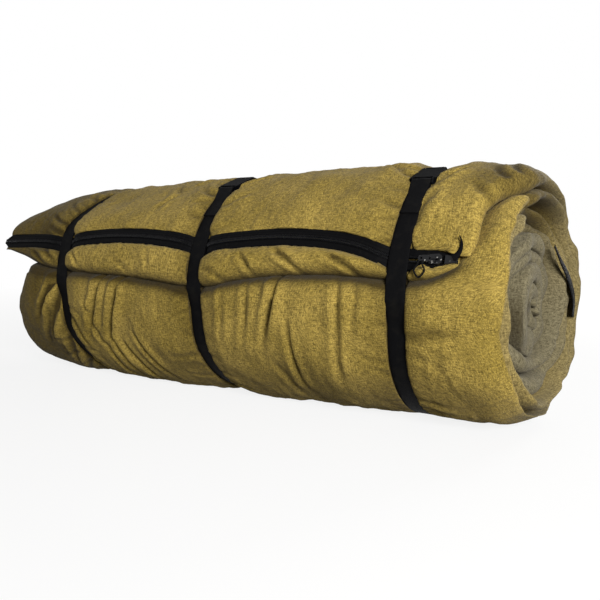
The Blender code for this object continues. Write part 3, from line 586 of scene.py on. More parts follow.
def sections_x(left, right, left_nose, right_nose):
    """X of every row of every section: faces between the noses, and noses that are half ovals."""
    a, b = left + left_nose, right - right_nose
    low, high = MIDDLE_PLACES[0], MIDDLE_PLACES[-1]
    share = np.linspace(0, 1, END_ROWS, endpoint=False)
    turn = ROW_ALONG * math.pi
    x = b - (b - a) * ROW_ALONG
    x = np.where(ROW_KIND == RIGHT_NOSED, b + right_nose * np.sin(turn) ** 0.9, x)
    x = np.where(ROW_KIND == LEFT_NOSED, a - left_nose * np.sin(turn), x)
    middle = np.broadcast_to(MIDDLE_PLACES, (len(a), len(MIDDLE_PLACES)))
    x[:, OUTER_ROWS] = np.hstack([a + (low - a) * share, middle, b - (b - high) * share[::-1]])
    return x


def blend_faces(inner, outer):
    """Rows of the inner and outer face as they are, and on the noses a half turn between them."""
    turn = np.cos(ROW_ALONG * math.pi)
    faces = [ROW_KIND == OUTER, ROW_KIND == INNER, ROW_KIND == RIGHT_NOSED]
    side = np.select(faces, [1.0, -1.0, turn], -turn)
    return inner + (outer - inner) * (1 + side) / 2


def overhang(x, angle):
    """The swollen cloth leans out over a strap's edge: X is drawn towards the strap there."""
    near = np.argmin([np.abs(x - strap_centre(s, angle)) for s in STRAPS], axis=0)
    way = np.sign(x - np.choose(near, [strap_centre(s, angle) + 0 * x for s in STRAPS]))
    s = from_strap(x, angle)
    lean = 0.0058 * (0.25 + 0.75 * ease(4.0, 9.0, np.abs(angle - zip_angle(x))))
    return x - way * lean * ease(0.0006, 0.0050, s) * (1 - ease(0.0055, 0.018, s))


def mesh_object(name, points, uv, corners, sizes):
    """A smooth closed mesh from points, their UV pairs, and its faces' corners and sizes."""
    mesh = bpy.data.meshes.new(name)
    mesh.vertices.add(len(points))
    mesh.loops.add(len(corners))
    mesh.polygons.add(len(sizes))
    mesh.vertices.foreach_set("co", points.ravel())
    mesh.loops.foreach_set("vertex_index", corners.astype(np.int32))
    mesh.polygons.foreach_set("loop_start", (np.cumsum(sizes) - sizes).astype(np.int32))
    mesh.update(calc_edges=True)
    mesh.uv_layers.new(name="weave").data.foreach_set("uv", uv[corners].ravel())
    shape = bmesh.new()
    shape.from_mesh(mesh)
    bmesh.ops.recalc_face_normals(shape, faces=shape.faces)
    shape.to_mesh(mesh)
    shape.free()
    mesh.shade_smooth()
    return add_object(name, mesh)


def closing(index, kinds, along):
    """Faces that close a section: from outer row to inner row, stepping along both, and the noses."""
    outer, inner = np.nonzero(kinds == OUTER)[0], np.nonzero(kinds == INNER)[0]
    half = len(inner) // 2
    inner = np.concatenate([inner[:half][::-1], inner[half:][::-1]])
    a, b = (np.maximum.accumulate(along[rows][1:] + along[rows][:-1]) for rows in (outer, inner))
    outer, inner = index[outer], index[inner]
    under, over = inner[np.searchsorted(b, a)], outer[np.searchsorted(a, b, side="right")]
    below = np.stack([outer[:-1], outer[1:], under, under], -1)
    faces = np.concatenate([below, np.stack([over, inner[1:], inner[:-1], inner[:-1]], -1)])
    left = np.concatenate([inner[:1], index[kinds == LEFT_NOSED], outer[:1]])
    right = np.concatenate([outer[-1:], index[kinds == RIGHT_NOSED], inner[-1:]])
    return faces, left, right


def weave_places(points):
    """UV in metres: U is the length along each section, V the way from section to section."""
    steps = np.linalg.norm(np.diff(points, axis=1), axis=2)
    u = np.concatenate([np.zeros((len(points), 1)), np.cumsum(steps, axis=1)], axis=1)
    reference = OUTER_ROWS[len(OUTER_ROWS) // 2]
    across = np.linalg.norm(np.diff(points[:, OUTER_ROWS], axis=0), axis=2).mean(1)
    v = np.concatenate([[0.0], np.cumsum(across)])[:, None]
    return np.stack(np.broadcast_arrays(u - u[:, reference : reference + 1], v), -1)


def quilt_object(name, points, fine, **fields):
    """A closed pad from a grid of section points, with numbers on its points for the material.

    Neighbouring sections are joined by quads. Past the fine sections, on the hidden turns, only
    every tenth outer row is kept, with all near the right end, and several fine rows meet one
    coarse row. The first and last sections are closed.
    """
    count = len(ROW_KIND)
    number = np.arange(count)
    kept = number[(ROW_KIND != OUTER) | (number % 10 == 0) | (ROW_ALONG >= 0.88)]
    first = np.arange(fine * count).reshape(fine, count)
    rest = fine * count + np.arange((len(points) - fine) * len(kept)).reshape(-1, len(kept))
    thinned = rest[0][np.searchsorted(kept, number, side="right") - 1]

    def strips(index):
        """Quads between each two neighbouring sections, closed round the loop."""
        a, b = index[:-1], index[1:]
        return np.stack([a, np.roll(a, -1, 1), np.roll(b, -1, 1), b], -1).reshape(-1, 4)

    def flat(grid):
        """A grid's values in the order of the points."""
        return np.concatenate([grid[:fine].ravel(), grid[fine:, kept].ravel()])

    start = closing(first[0], ROW_KIND, points[0][:, 0])
    end = closing(rest[-1], ROW_KIND[kept], points[-1][kept, 0])
    bands = [strips(first), strips(np.stack([first[-1], thinned])), strips(rest)]
    quads = np.concatenate([*bands, start[0], end[0]])
    distinct = quads != np.roll(quads, 1, axis=1)
    caps = (*start[1:], *end[1:])
    corners = np.concatenate([quads[distinct], *caps])
    sizes = np.concatenate([distinct.sum(1), [len(c) for c in caps]])
    uv = flat(weave_places(points)).reshape(-1, 2)
    made = mesh_object(name, flat(points).reshape(-1, 3), uv, corners, sizes)
    for field, grid in fields.items():
        made.data.attributes.new(field, "FLOAT", "POINT").data.foreach_set("value", flat(grid))
    return made


# Up to this angle the sections are fine, and further on they are hidden or wound in
FINE_END = 376.0


def painted_shade_patches(x, angle, radius, base):
    """Painted shade: beside the straps, at the left end, on top at the right, under the lip and in hollows.
    """
    total = 0.0060 * (1.0 - ease(-0.345, -0.296, x))
    total += 0.0056 * ease(0.32, 0.38, x) * ease(42, 62, angle) * (1 - ease(75, 130, base))
    for place in STRAPS:
        away = x - strap_centre(place, angle)
        wide = 0.012 + (0.014 if place < -0.1 else 0.0) * hump(angle, 29, 9)
        near = 0.0074 * np.exp(np.minimum(away + STRAP_WIDTH / 2, 0.0) / wide) * (away < 0)
        near += 0.0048 * np.exp(-np.maximum(away - STRAP_WIDTH / 2, 0.0) / 0.005) * (away > 0)
        total += near * (base < FINE_END)
    total += 0.0085 * hump(angle - through(x, LIP_EDGE), 359.0, 3.6) * (1 - ease(0.35, 0.39, x))
    above = hump(angle % 360.0, 104.0, 26.0) * hump(radius, 0.108, 0.018)
    below = hump(base, 1058.0, 34.0) * (x < 0.412)
    return total + (0.0080 * above + 0.0060 * below) * (x > 0.33)


def lining_grey_and_painted_shade(x, angle, base):
    """Grey-green share: the inner turns, partly lining and partly painted shade, and the end's far rim."""
    rim = ease(0.398, 0.428, x) * ease(48, 92, angle % 360.0) * (1 - ease(285, 325, angle % 360.0))
    return np.maximum(ease(370, 640, base), 0.62 * rim)


def quilt_ends(base, waves, shift):
    """Where each section ends, with waves along the right end, and how long its noses are."""
    height = 0.003 - 0.003 * ease(900, 1100, base)
    right = through(base, RIGHT_EDGE) + height * np.sin(np.radians(base * waves + shift))
    return through(base, LEFT_EDGE), right, through(base, LEFT_NOSE), through(base, RIGHT_NOSE)


def crumple(angle, radius, base, heights, seed):
    """How far the noses' surface stands out along X: less from turn to turn, to none at the core."""
    at_first, by_second, by_core = heights
    calm = at_first - by_second * ease(430, 727, base) - by_core * ease(900, 1000, base)
    return np.where(ON_NOSE, calm * lumps(np.radians(angle) * 0.16, radius, 0.018, seed), 0.0)


def towards_corner(base, low, x):
    """0 on the first sections at the left end, where the quilts are pinched thin, and 1 elsewhere."""
    grown = ease(low, 60.0, base)
    return grown + (1 - grown) * ease(-0.43, -0.33, x)


# The hem's angle, where the upper quilt starts, how far round its seam shapes the quilts, and
# the sections of their inner turns
HEM = 29.0
SEAM_REACH = 70.0
INNER_TURNS = np.append(np.arange(472.0, CORE_END, 2.6), CORE_END)


def make_upper_quilt():
    """Sections from the zip's hem inwards. The first ones lean with the zip, the rest are straight."""
    fine = np.append([HEM, HEM + 0.25, HEM + 0.7, HEM + 1.3, HEM + 2.0], np.arange(32.0, FINE_END, 1.15))
    base = np.concatenate([fine, np.arange(377.0, 470.0, 1.6), INNER_TURNS])[:, None]
    x = sections_x(*quilt_ends(base, 7.0, 0.0))
    hem_angle = zip_angle(x) + half_zip(x)
    lean = np.clip(1.0 - (base - HEM) / 26.0, 0.0, 1.0) ** 2
    angle = base + lean * (hem_angle - HEM)

    away = np.radians(angle - hem_angle) * GROOVE
    wrinkle = 0.0022 * (1.0 - ease(900, 1000, base)) * lumps(x, np.radians(angle) * 0.13, 0.025, 8)
    outermost = skin_radius(x, angle) - np.where(base < SEAM_REACH, seam_valley(x, away), 0.0)
    wound = winding_radius(angle) + puff(x, angle) + wrinkle
    outer = outermost + (wound - outermost) * under_lip(x, angle)
    thick = ease(HEM, 33.0, base) * np.where(base < SEAM_REACH, towards_corner(base, 30.0, x), 1.0)
    inner = outer - 0.004 - (outer - 0.005 - middle_radius(x, angle)) * thick
    radius = blend_faces(inner, outer)
    out = crumple(angle, radius, base, (0.0024, 0.0016, 0.0008), 15)
    points = on_roll(overhang(x, angle) + out, angle, radius)
    # Painted shade, kept in the fold attribute: darker by the depth of the folds and gathers, and in the
    # painted patches beside the straps, at the ends and in the hollows.
    painted_shade_amount = np.where(base < 360, fold_field(x, angle, FOLDS) + gathers(x, angle), 0.0)
    painted_shade_amount += painted_shade_patches(x, angle, radius, base)
    return quilt_object("upper_quilt", points, len(fine), fold=painted_shade_amount * 300, inside=lining_grey_and_painted_shade(x, angle, base))


upper_quilt = make_upper_quilt()


# The lower quilt lies inside the upper one. Along the foot edge it wraps forward as a
# padded lip, which hangs below the zip and closes over the roll in a deep crease.

LIP_FOLDS = np.array([
    (-262, 18.5, -236, 9, 3.5, 3), (-275, 9, -225, 8, 3.5, 3), (14, 12, 52, 6.5, 4, 3),
    (70, 19, 98, 9, 4.2, 4), (60, 18, 52, 12, 4, 1.6), (124, 21, 176, 10.5, 4.4, 5),
    (205, 19, 258, 10, 4.2, 4.6), (-100, 20, -85, 10, 5, 1.4), (-330, 20, -304, 12, 3.5, 3),
    (-352, 18, -318, 10, 3.5, 2.6), (306, 15, 324, 11, 3.5, 2.6), (-160, 14, -120, 8, 5, 1.4),
]) / FOLD_UNITS
# Round the lip's section: its straight face ends, and the oval round its lower edge ends
FACE_END, OVAL_END = 0.62, 1.6


def lip_section(x, turn):
    """The lip's angle and radius. turn is 0 at the zip, 1 at its lowest line and 2 behind it.

    First comes the face, a straight run with a slight crown. Then the surface goes round the
    lower edge on an oval, and up behind, along the turn that the lip lies on.
    """
    top = zip_angle(x) - half_zip(x)
    tip = np.minimum(through(x, LIP_EDGE), top - 0.8)
    reach = np.minimum(math.degrees(0.017 / GROOVE), (top - tip) * 0.85)
    full = ease(-0.435, -0.350, x)
    out = GROOVE + swell(x, top)
    behind = inner_radius(x, 14.0 + 0 * x) + 0.0006
    behind = out - 0.008 - (out - 0.008 - behind) * full
    centre, half = (out + behind) / 2, (out - behind) / 2
    plump = 0.0050 * free(x, top, 0.012) * full * (1.0 - 0.9 * ease(0.314, 0.336, x))

    start, bow = tip + reach, math.pi * 0.75
    face = np.clip(turn / FACE_END, 0.0, 1.0)
    down = np.clip((turn - FACE_END) / (1.0 - FACE_END), 0.0, 1.0)
    back = np.clip((turn - 1.0) / (OVAL_END - 1.0), 0.0, 1.0)
    phi = math.pi / 2 * (1.0 - down - back)
    swollen = half + plump * math.sin(bow) * np.clip(np.sin(phi), 0, 1)
    angle = np.where(turn <= FACE_END, top + (start - top) * face, start - reach * np.cos(phi))
    angle = angle + np.clip((turn - OVAL_END) / (2.0 - OVAL_END), 0, 1) * 2.0
    radius = np.where(turn <= FACE_END, out + plump * np.sin(face * bow), centre + swollen * np.sin(phi))
    arc = np.radians(angle) * GROOVE
    relief = 0.0012 * lumps(x, arc, 0.034, 31) + 0.0008 * lumps(x, arc, 0.011, 32)
    relief = free(x, top, 0.010) * (relief - fold_field(x, angle, LIP_FOLDS))
    away = np.where(turn < 1.0, np.radians(top - angle) * GROOVE, 1.0)
    return angle, radius + (1.0 - ease(1.0, 1.3, turn)) * (relief - seam_valley(x, away))


def make_lower_quilt():
    """It fills the lip, passes under the zip and is wound on inside the upper quilt."""
    turns = (1.0 - np.linspace(0.0, 1.0, 27)[1:] ** 1.3)[:, None]
    count = len(turns)
    wound = np.append([21.5, 24.0, 26.5, 29.0, 33.0], np.arange(37.0, 470.0, 2.5))
    base = np.concatenate([np.full(count, 20.0), wound, INNER_TURNS])[:, None]
    left, right, left_nose, right_nose = quilt_ends(base, 6.0, 100.0)
    left += 0.004
    right += np.interp(base, (200, 262, 300, 340), (0.0, 0.008, 0.004, -0.002))
    left[:count], right[:count], left_nose[:count], right_nose[:count] = -0.437, 0.364, 0.012, 0.012
    x = sections_x(left, right, left_nose, right_nose)

    lip, body = x[:count], x[count:]
    angle_out, radius_out = lip_section(lip, turns)
    angle_in, radius_in = lip_section(lip, 2.0 - turns)
    around = base[count:] + 0 * body
    inner, outer = inner_radius(body, around), middle_radius(body, around) - 0.001
    hidden = np.minimum(GROOVE + swell(body, ZIP_LEVEL) - 0.010, GROOVE)
    pinched = hidden - 0.012 - (hidden - 0.012 - inner) * towards_corner(around, 24.0, body)
    inner = np.where(around < SEAM_REACH, pinched, inner)
    under_zip = np.maximum(outer, hidden - 0.006 * ease(24, 36, around))
    outer = np.where(around < 36, under_zip, outer)
    angle = np.concatenate([blend_faces(angle_in, angle_out), around])
    radius = np.concatenate([blend_faces(radius_in, radius_out), blend_faces(inner, outer)])
    out = np.where(base > 60, crumple(angle, radius, base, (0.0028, 0.0018, 0.0010), 16), 0.0)
    lean = np.concatenate([overhang(lip, angle[:count]), body])
    points = on_roll(lean + out, angle, radius)
    # Painted shade, kept in the fold attribute: the same patches, with darker folds on the lip and its
    # lower edge darker still.
    painted_shade_amount = painted_shade_patches(x, angle, radius, base)
    painted_shade_amount[:count] += fold_field(lip, angle[:count], LIP_FOLDS) + 0.005 * ease(0.75, 1.0, turns)
    # Grey-green where the lower quilt is wound in, partly the lining's colour and partly painted shade at
    # the end's recess, and greyer at the end's far rim.
    inside = np.maximum(ease(60, 640, base), lining_grey_and_painted_shade(x, angle, base))
    return quilt_object("lower_quilt", points, count, fold=painted_shade_amount * 300, inside=inside)


lower_quilt = make_lower_quilt()

# Cotton canvas, piece-dyed khaki: a plain weave of uneven yarn, matt, with a faint bloom of
# loose fibre. Painted shade darkens it in its folds and creases, beside the straps, at the ends
# and in their hollows. The inner turns take a grey-green that is partly the lining's colour and
# partly painted shade, and the end's far rim a greyer tone. The real yarns are 0.7 mm wide,
# finer than a pixel, so they are drawn nearly three times as coarse.
YARN, SLUB, FIBRE = 0.0019, 0.0066, 0.0013
CANVAS_LIGHT, CANVAS_MID, CANVAS_DARK = "#B1974B", "#8F7934", "#241B08"
CANVAS_BLOOM, CANVAS_INSIDE = "#D0BA6A", "#736F5E"


def canvas_material():
    """Each yarn is noise drawn out to a slub's length one way and a yarn's width the other."""
    cloth = new_material("khaki_cotton_canvas")
    uv = add_node(cloth, "UVMap", uv_map="weave")
    yarns = []
    for scale, offset in (((1 / SLUB, 1 / YARN, 1.0), 3.0), ((1 / YARN, 1 / SLUB, 1.0), 9.0)):
        stretch = {"Vector": uv, "Scale": scale, "Location": (offset, offset, 0.0)}
        placed = add_node(cloth, "Mapping", stretch)
        yarns.append(add_node(cloth, "TexNoise", {"Vector": placed, "Scale": 1.0, "Detail": 2.0}))
    fibre = {"Vector": uv, "Scale": 1 / FIBRE, "Detail": 2.0, "Roughness": 0.7}
    grain = add_node(cloth, "TexNoise", fibre)
    both = add_node(cloth, "Math", {0: yarns[0], 1: yarns[1]}, operation="ADD")
    both = add_node(cloth, "Math", {0: both, 1: grain}, operation="ADD")
    weave = add_node(cloth, "MapRange", {"Value": both, "From Min": 1.18, "From Max": 1.80})
    shade = add_node(cloth, "TexNoise", {"Vector": uv, "Scale": 9.0, "Detail": 4.0, "Roughness": 0.6})
    within, fold = (add_node(cloth, "Attribute", out="Fac", attribute_name=n) for n in ("inside", "fold"))
    colour, _ = lay_colours(
        cloth,
        CANVAS_MID,
        (shade, 0.35, 0.66, 0.0, 1.0, CANVAS_LIGHT),
        (grain, 0.52, 0.72, 0.0, 0.45, CANVAS_BLOOM),
        # grey-green: partly the lining's colour, partly painted shade for the recessed turns
        (within, 0.0, 1.0, 0.0, 0.85, CANVAS_INSIDE),
        (weave, 0.0, 1.0, 0.74, 0.0, CANVAS_DARK),
        # painted shade: in the folds, creases and hollows, beside the straps and at the ends
        (fold, 0.15, 2.4, 0.0, 0.9, CANVAS_DARK),
    )
    crinkle = add_node(cloth, "TexNoise", {"Vector": uv, "Scale": 120.0, "Detail": 3.0})
    soft = {"Height": crinkle, "Strength": 0.45, "Distance": 0.0014}
    fine = {"Height": weave, "Strength": 0.8, "Distance": 0.0005, "Normal": add_node(cloth, "Bump", soft)}
    inputs = {"Base Color": colour, "Roughness": 0.9, "Normal": add_node(cloth, "Bump", fine)}
    return end_material(
        cloth, inputs | {"Sheen Weight": 0.04, "Sheen Roughness": 0.5, "Specular IOR Level": 0.1}
    )


canvas = canvas_material()
for quilt, nodes in (
    (upper_quilt, ("top_canvas", "top_filling", "top_lining")),
    (lower_quilt, ("bottom_canvas", "bottom_filling", "bottom_lining")),
):
    quilt.data.materials.append(canvas)
    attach(quilt, "bag")
    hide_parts(*nodes)


# The zip is a nylon coil, 6 mm wide when closed, sewn to two black polyester tapes. The
# tapes are stitched under the hems of both quilts, so the zip lies a little below the canvas.

TAPE_THICK = 0.0007
TAPE_DEPTH = 0.0031
COIL_PITCH = 0.0016
COIL_REACH = 0.0015
COIL_HEIGHT = 0.0009
COIL_WIRE = 0.00034
COIL_ASIDE = 0.0014
# Where along X the tapes and the coil start and end
TAPE_ENDS = (-0.4440, 0.3600)
COIL_START = -0.4365
COIL_ENDS = {"above": 0.3390, "below": 0.3335}
# Beside the slider the zip sinks to its level, and both sides part
SINKING = (0.279, 0.306)
PARTING, PARTED = (0.2785, 0.3035), 0.0016
# The tapes' spare end past the stop: mm along X, angle, and half its width in mm
TAPE_TIP = np.array([
    (355.0, 20.8, 4.2), (359.2, 21.8, 3.4), (362.6, 23.6, 2.5),
    (364.0, 25.8, 1.6), (363.0, 27.8, 1.0), (360.2, 29.6, 0.6),
]) / (1000, 1, 1000)


def unit(vectors):
    """Vectors divided by their lengths."""
    return vectors / np.linalg.norm(vectors, axis=-1, keepdims=True)


def run_along(line):
    """The length along a line at each of its points."""
    return np.append(0.0, np.cumsum(np.linalg.norm(np.diff(line, axis=0), axis=1)))


def beside(line, across, side, height, out):
    """A ring of points at each point of a line: some way to its side, and some way out."""
    across, height = np.broadcast_arrays(across, height)
    return line[:, None] + across[..., None] * side[:, None] + height[..., None] * out[:, None]


def along_zip(x, across, height):
    """Points beside the zip's line: across the tapes, up the skin, and out of the tape's face.

    The line follows the swollen canvas, and sinks to the slider's own level past the right strap.
    """
    skin = GROOVE + swell(x, ZIP_LEVEL) * (1.0 - ease(*SINKING, x)) - TAPE_DEPTH
    line = on_roll(x, zip_angle(x), skin)
    ahead = unit(np.gradient(line, axis=0))
    out = on_roll(x, zip_angle(x), skin + 1.0) - line
    out = unit(out - (out * ahead).sum(1)[:, None] * ahead)
    return beside(line, across, np.cross(out, ahead), height, out)


def parted(x):
    """How far each side stands off from the zip's line: opened beside the slider."""
    return np.interp(x, PARTING, (0.0, PARTED))


def tube_object(name, rings):
    """A closed tube from rings of points, with capped ends and a UV map in metres."""
    count, around = rings.shape[:2]
    index = np.arange(count * around).reshape(count, around)
    a, b = index[:-1], index[1:]
    quads = np.stack([a, b, np.roll(b, -1, 1), np.roll(a, -1, 1)], -1).reshape(-1, 4)
    corners = np.concatenate([quads.ravel(), index[0], index[-1][::-1]])
    sizes = np.append(np.full(len(quads), 4), [around, around])
    uv = np.broadcast_arrays(run_along(rings[0]), run_along(rings.mean(1))[:, None])
    uv = np.stack(uv, -1).reshape(-1, 2)
    return mesh_object(name, rings.reshape(-1, 3), uv, corners, sizes)


def make_tape(name, way):
    """A flat woven band with a rounded inner edge and two raised cords of stitching."""
    x = np.linspace(*TAPE_ENDS, 520)[:, None]
    v = np.array([0.4, 1.0, 3.0, 3.8, 4.2, 4.6, 6.0, 8.2, 8.6, 9.0, 10.8, 12.4]) / 1000
    h = np.array([-0.3, 0.0, 0.0, 0.0, 0.45, 0.0, 0.0, 0.0, 0.3, 0.0, 0.0, -0.2]) / 1000
    narrow = 1.0 - (0.62 if way < 0 else 0.50) * ease(0.342, 0.360, x)
    narrow = narrow * (0.3 + 0.7 * ease(-0.446, -0.428, x))
    across = (np.append(v, v[::-1]) + parted(x) - 0.0009 * ease(0.275, 0.300, x)) * narrow
    height = np.append(h, np.full(len(v), -TAPE_THICK)) + 0.00012 * np.sin(x * 900.0)
    return tube_object(name, along_zip(x[:, 0], way * across, height))


def make_coil(name, way, stop):
    """A wire wound as a flattened helix, one turn each pitch, with its loops meeting the other's."""
    turns = int((stop - COIL_START) / COIL_PITCH)
    phase = np.linspace(0, 2 * math.pi * turns, turns * 10 + 1)
    x = COIL_START + (phase / (2 * math.pi) + (0.5 if way > 0 else 0.0)) * COIL_PITCH
    across = way * (COIL_ASIDE + parted(x) + COIL_REACH * np.cos(phase))
    height = COIL_HEIGHT * (1.0 + np.sin(phase))
    path = along_zip(x, across[:, None], height[:, None])[:, 0]
    ahead = unit(np.gradient(path, axis=0))
    side = unit(np.cross(ahead, (0.0, 0.0, 1.0)))
    turn = np.linspace(0, 2 * math.pi, 4, endpoint=False)[None]
    ring = (COIL_WIRE * np.cos(turn), side, COIL_WIRE * np.sin(turn), np.cross(ahead, side))
    return tube_object(name, beside(path, *ring))


def tape_material():
    """Polyester twill tape: matt black, with ribs along it drawn 1 mm apart and a little lint."""
    tape = new_material("black_polyester_tape")
    uv = add_node(tape, "UVMap", uv_map="weave")
    ribs = {"Vector": uv, "Scale": 1000.0 / math.pi, "Distortion": 0.6, "Detail": 1.0}
    wave = add_node(tape, "TexWave", ribs, "Fac", bands_direction="X")
    lint = add_node(tape, "TexNoise", {"Vector": uv, "Scale": 260.0, "Detail": 4.0})
    colour, _ = lay_colours(tape, "#050506", (lint, 0.56, 0.80, 0.0, 0.5, "#171613"))
    bump = add_node(tape, "Bump", {"Height": wave, "Strength": 0.5, "Distance": 0.00025})
    inputs = {"Base Color": colour, "Roughness": 0.72, "Normal": bump, "Specular IOR Level": 0.05}
    return end_material(tape, inputs)


def coil_material():
    """Extruded nylon wire: black, smooth, with the soft gloss of plastic and a little dust."""
    coil = new_material("black_nylon_coil")
    place = add_node(coil, "TexCoord", out="Object")
    dust = add_node(coil, "TexNoise", {"Vector": place, "Scale": 90.0, "Detail": 5.0})
    mix = {"Factor": dust, "A": linear("#040405"), "B": linear("#131315")}
    colour = add_node(coil, "Mix", mix, "Result", data_type="RGBA")
    gloss = add_node(coil, "MapRange", {"Value": dust, "To Min": 0.25, "To Max": 0.5})
    return end_material(coil, {"Base Color": colour, "Roughness": gloss, "Specular IOR Level": 0.15})


def make_tape_end():
    """Past the stop the tapes' spare end narrows, lies over the hem and curls up at its tip."""
    x, angle, half = curve_through(TAPE_TIP, 5).T
    lift = 0.0004 + 0.0034 * ease(0.0, 1.0, np.linspace(-0.2, 1, len(x)))
    line = on_roll(x, angle, GROOVE + swell(x, angle) + lift)
    out = on_roll(x, angle, 1.0) - on_roll(x, angle, 0.0)
    side = unit(np.cross(out, np.gradient(line, axis=0)))
    across = np.array([-1.0, 0.0, 1.0, 1.0, 0.0, -1.0]) * half[:, None]
    height = np.array([0.0, 0.2, 0.0, -0.6, -0.6, -0.6]) / 1000
    return tube_object("zip_tape_end", beside(line, across, side, height, out))


tape_cloth, nylon = tape_material(), coil_material()
for name, way, node in (("tape_above", 1.0, "zip_tape_upper"), ("tape_below", -1.0, "zip_tape_lower")):
    tape = make_tape(name, way)
    tape.data.materials.append(tape_cloth)
    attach(tape, "bag")
    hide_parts(node)
for name, way, stop, node in (
    ("coil_above", 1.0, COIL_ENDS["above"], "zip_chain_upper"),
    ("coil_below", -1.0, COIL_ENDS["below"], "zip_chain_lower"),
):
    coil = make_coil(name, way, stop)
    coil.data.materials.append(nylon)
    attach(coil, "bag")
    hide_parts(node)
tape_end = make_tape_end()
tape_end.data.materials.append(tape_cloth)
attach(tape_end, "bag")


# The slider and its pull tab are die-cast zinc, painted black and rubbed bright where they
# are handled. The stop is the same casting, clamped over both tapes' ends.


def painted_zinc():
    """Satin black enamel with bare metal in rubbed patches, and a fine orange-peel surface."""
    zinc = new_material("black_painted_zinc")
    place = add_node(zinc, "TexCoord", out="Object")
    turned = {"Vector": place, "Rotation": (0.3, 0.9, 0.5), "Scale": (1.0, 0.35, 1.0)}
    placed = add_node(zinc, "Mapping", turned)
    patches = add_node(zinc, "TexNoise", {"Vector": placed, "Scale": 300.0, "Detail": 3.0})
    colour, bare = lay_colours(zinc, "#0D0D0E", (patches, 0.63, 0.68, 0.0, 1.0, "#B4B2AC"))
    peel = add_node(zinc, "TexNoise", {"Vector": place, "Scale": 2600.0})
    bump = add_node(zinc, "Bump", {"Height": peel, "Strength": 0.25, "Distance": 0.0001})
    inputs = {"Base Color": colour, "Metallic": bare, "Roughness": 0.32, "Normal": bump}
    return end_material(zinc, inputs | {"Specular IOR Level": 0.25})


def dress(node, material):
    """Puts a material in every slot of a CAD node's object."""
    for slot in bpy.data.objects[node].material_slots:
        slot.material = material


zinc = painted_zinc()
for node in ("zip_slider", "pull_tab", "zip_stop"):
    dress(node, zinc)


# Each strap is 25 mm black polypropylene webbing. It passes round the roll, turns back
# through its buckle's two bars, and lies doubled there: a short sewn end and a loose tail.

WEBBING = 0.0016
WEBBING_GAP = 0.0003
TAIL = 0.085
SEWN = 0.030
BUCKLE_LIFT = 0.0022
BUCKLE_THICK = 0.0090
BAR, BAR_HEIGHT = 0.0034, 0.0032
SOCKET_END, PLUG_END = -0.0275, 0.0275
STRAP_PLACES = dict(zip(("left", "middle", "right"), STRAPS))
BUCKLE_ANGLES = {"left": 115.0, "middle": 70.0, "right": 70.0}
# In degrees: how far from its buckle's middle the run round the roll starts and ends, and the
# crease that it spans
RUN_START, RUN_END = 17.5, 27.5
SPAN_START, SPAN_END = 1.0, -7.0


def polar_line(x, angle, lift):
    """Y and Z of the webbing's middle at angles round the roll, on the cloth in its groove."""
    angle = angle % 360.0
    lowest = off_ground(angle, GROUND_GAP + WEBBING + lift) + lift
    return on_roll(x, angle, np.minimum(groove(x, angle) + WEBBING_GAP + lift, lowest))[:, 1:]


def round_bar(way, bar, angle):
    """Y and Z of the turn round a buckle's bar, from below it to above it."""
    corner = math.hypot(BAR, BAR_HEIGHT) / 2 + WEBBING_GAP
    turn = corner / math.cos(math.radians(20)) + WEBBING / 2
    t = np.radians(np.arange(-100.0, 101.0, 12.5))
    along, out = bar - way * turn * np.cos(t), GROOVE + BUCKLE_LIFT + BUCKLE_THICK / 2 + turn * np.sin(t)
    a = math.radians(angle)
    y, z = along * math.sin(a) - out * math.cos(a), along * math.cos(a) + out * math.sin(a)
    return np.stack([y, AXIS_Z + z], 1)


def evenly(line, length, step):
    """A line's first part, as long as given, in even steps."""
    at = np.linspace(0, length, int(length / step))
    return np.stack([np.interp(at, run_along(line), places) for places in line.T], 1)


def strap_path(side):
    """The webbing's middle line in Y and Z: sewn end, socket bar, round the roll, plug bar, tail."""
    x, buckle = STRAP_PLACES[side], BUCKLE_ANGLES[side]
    front = np.arange(buckle - RUN_START, SPAN_START, -2.0)
    angles = np.append(front, np.arange(SPAN_END, buckle + RUN_END - 360.0, -2.0))
    main, above = (polar_line(x, angles, lift) for lift in (WEBBING / 2, WEBBING * 1.5 + WEBBING_GAP))
    socket_turn = round_bar(-1.0, SOCKET_END + BAR / 2, buckle)
    plug_turn = round_bar(1.0, PLUG_END - BAR / 2, buckle)
    sewn, tail = evenly(above, SEWN, 0.003)[::-1], evenly(above[::-1], TAIL, 0.003)
    line = np.concatenate([sewn, socket_turn[::-1], main, plug_turn, tail])
    line = evenly(line, run_along(line)[-1], 0.001)
    for _ in range(3):
        line[1:-1] = 0.25 * line[:-2] + 0.5 * line[1:-1] + 0.25 * line[2:]
    return line


def make_strap(side):
    """Webbing: its rounded cross-section is carried along the path, upright to it."""
    line = strap_path(side)
    ahead = unit(np.gradient(line, axis=0))
    out = np.stack([-ahead[:, 1], ahead[:, 0]], 1)
    w = np.array([-12.5, -12.2, -11.6, -8.0, -3.0, 3.0, 8.0, 11.6, 12.2, 12.5]) / 1000
    h = np.array([0.0, 0.55, 0.80, 0.74, 0.70, 0.70, 0.74, 0.80, 0.55, 0.0]) / 1000
    w, h = np.append(w, w[-2:0:-1]), np.append(h, -h[-2:0:-1])
    angle = np.degrees(np.arctan2(line[:, 1] - AXIS_Z, -line[:, 0]))
    middle = strap_centre(STRAP_PLACES[side], angle) + 0 * angle
    yz = line[:, None] + h[None, :, None] * out[:, None]
    return tube_object("webbing_" + side, np.dstack([middle[:, None] + w, yz]))


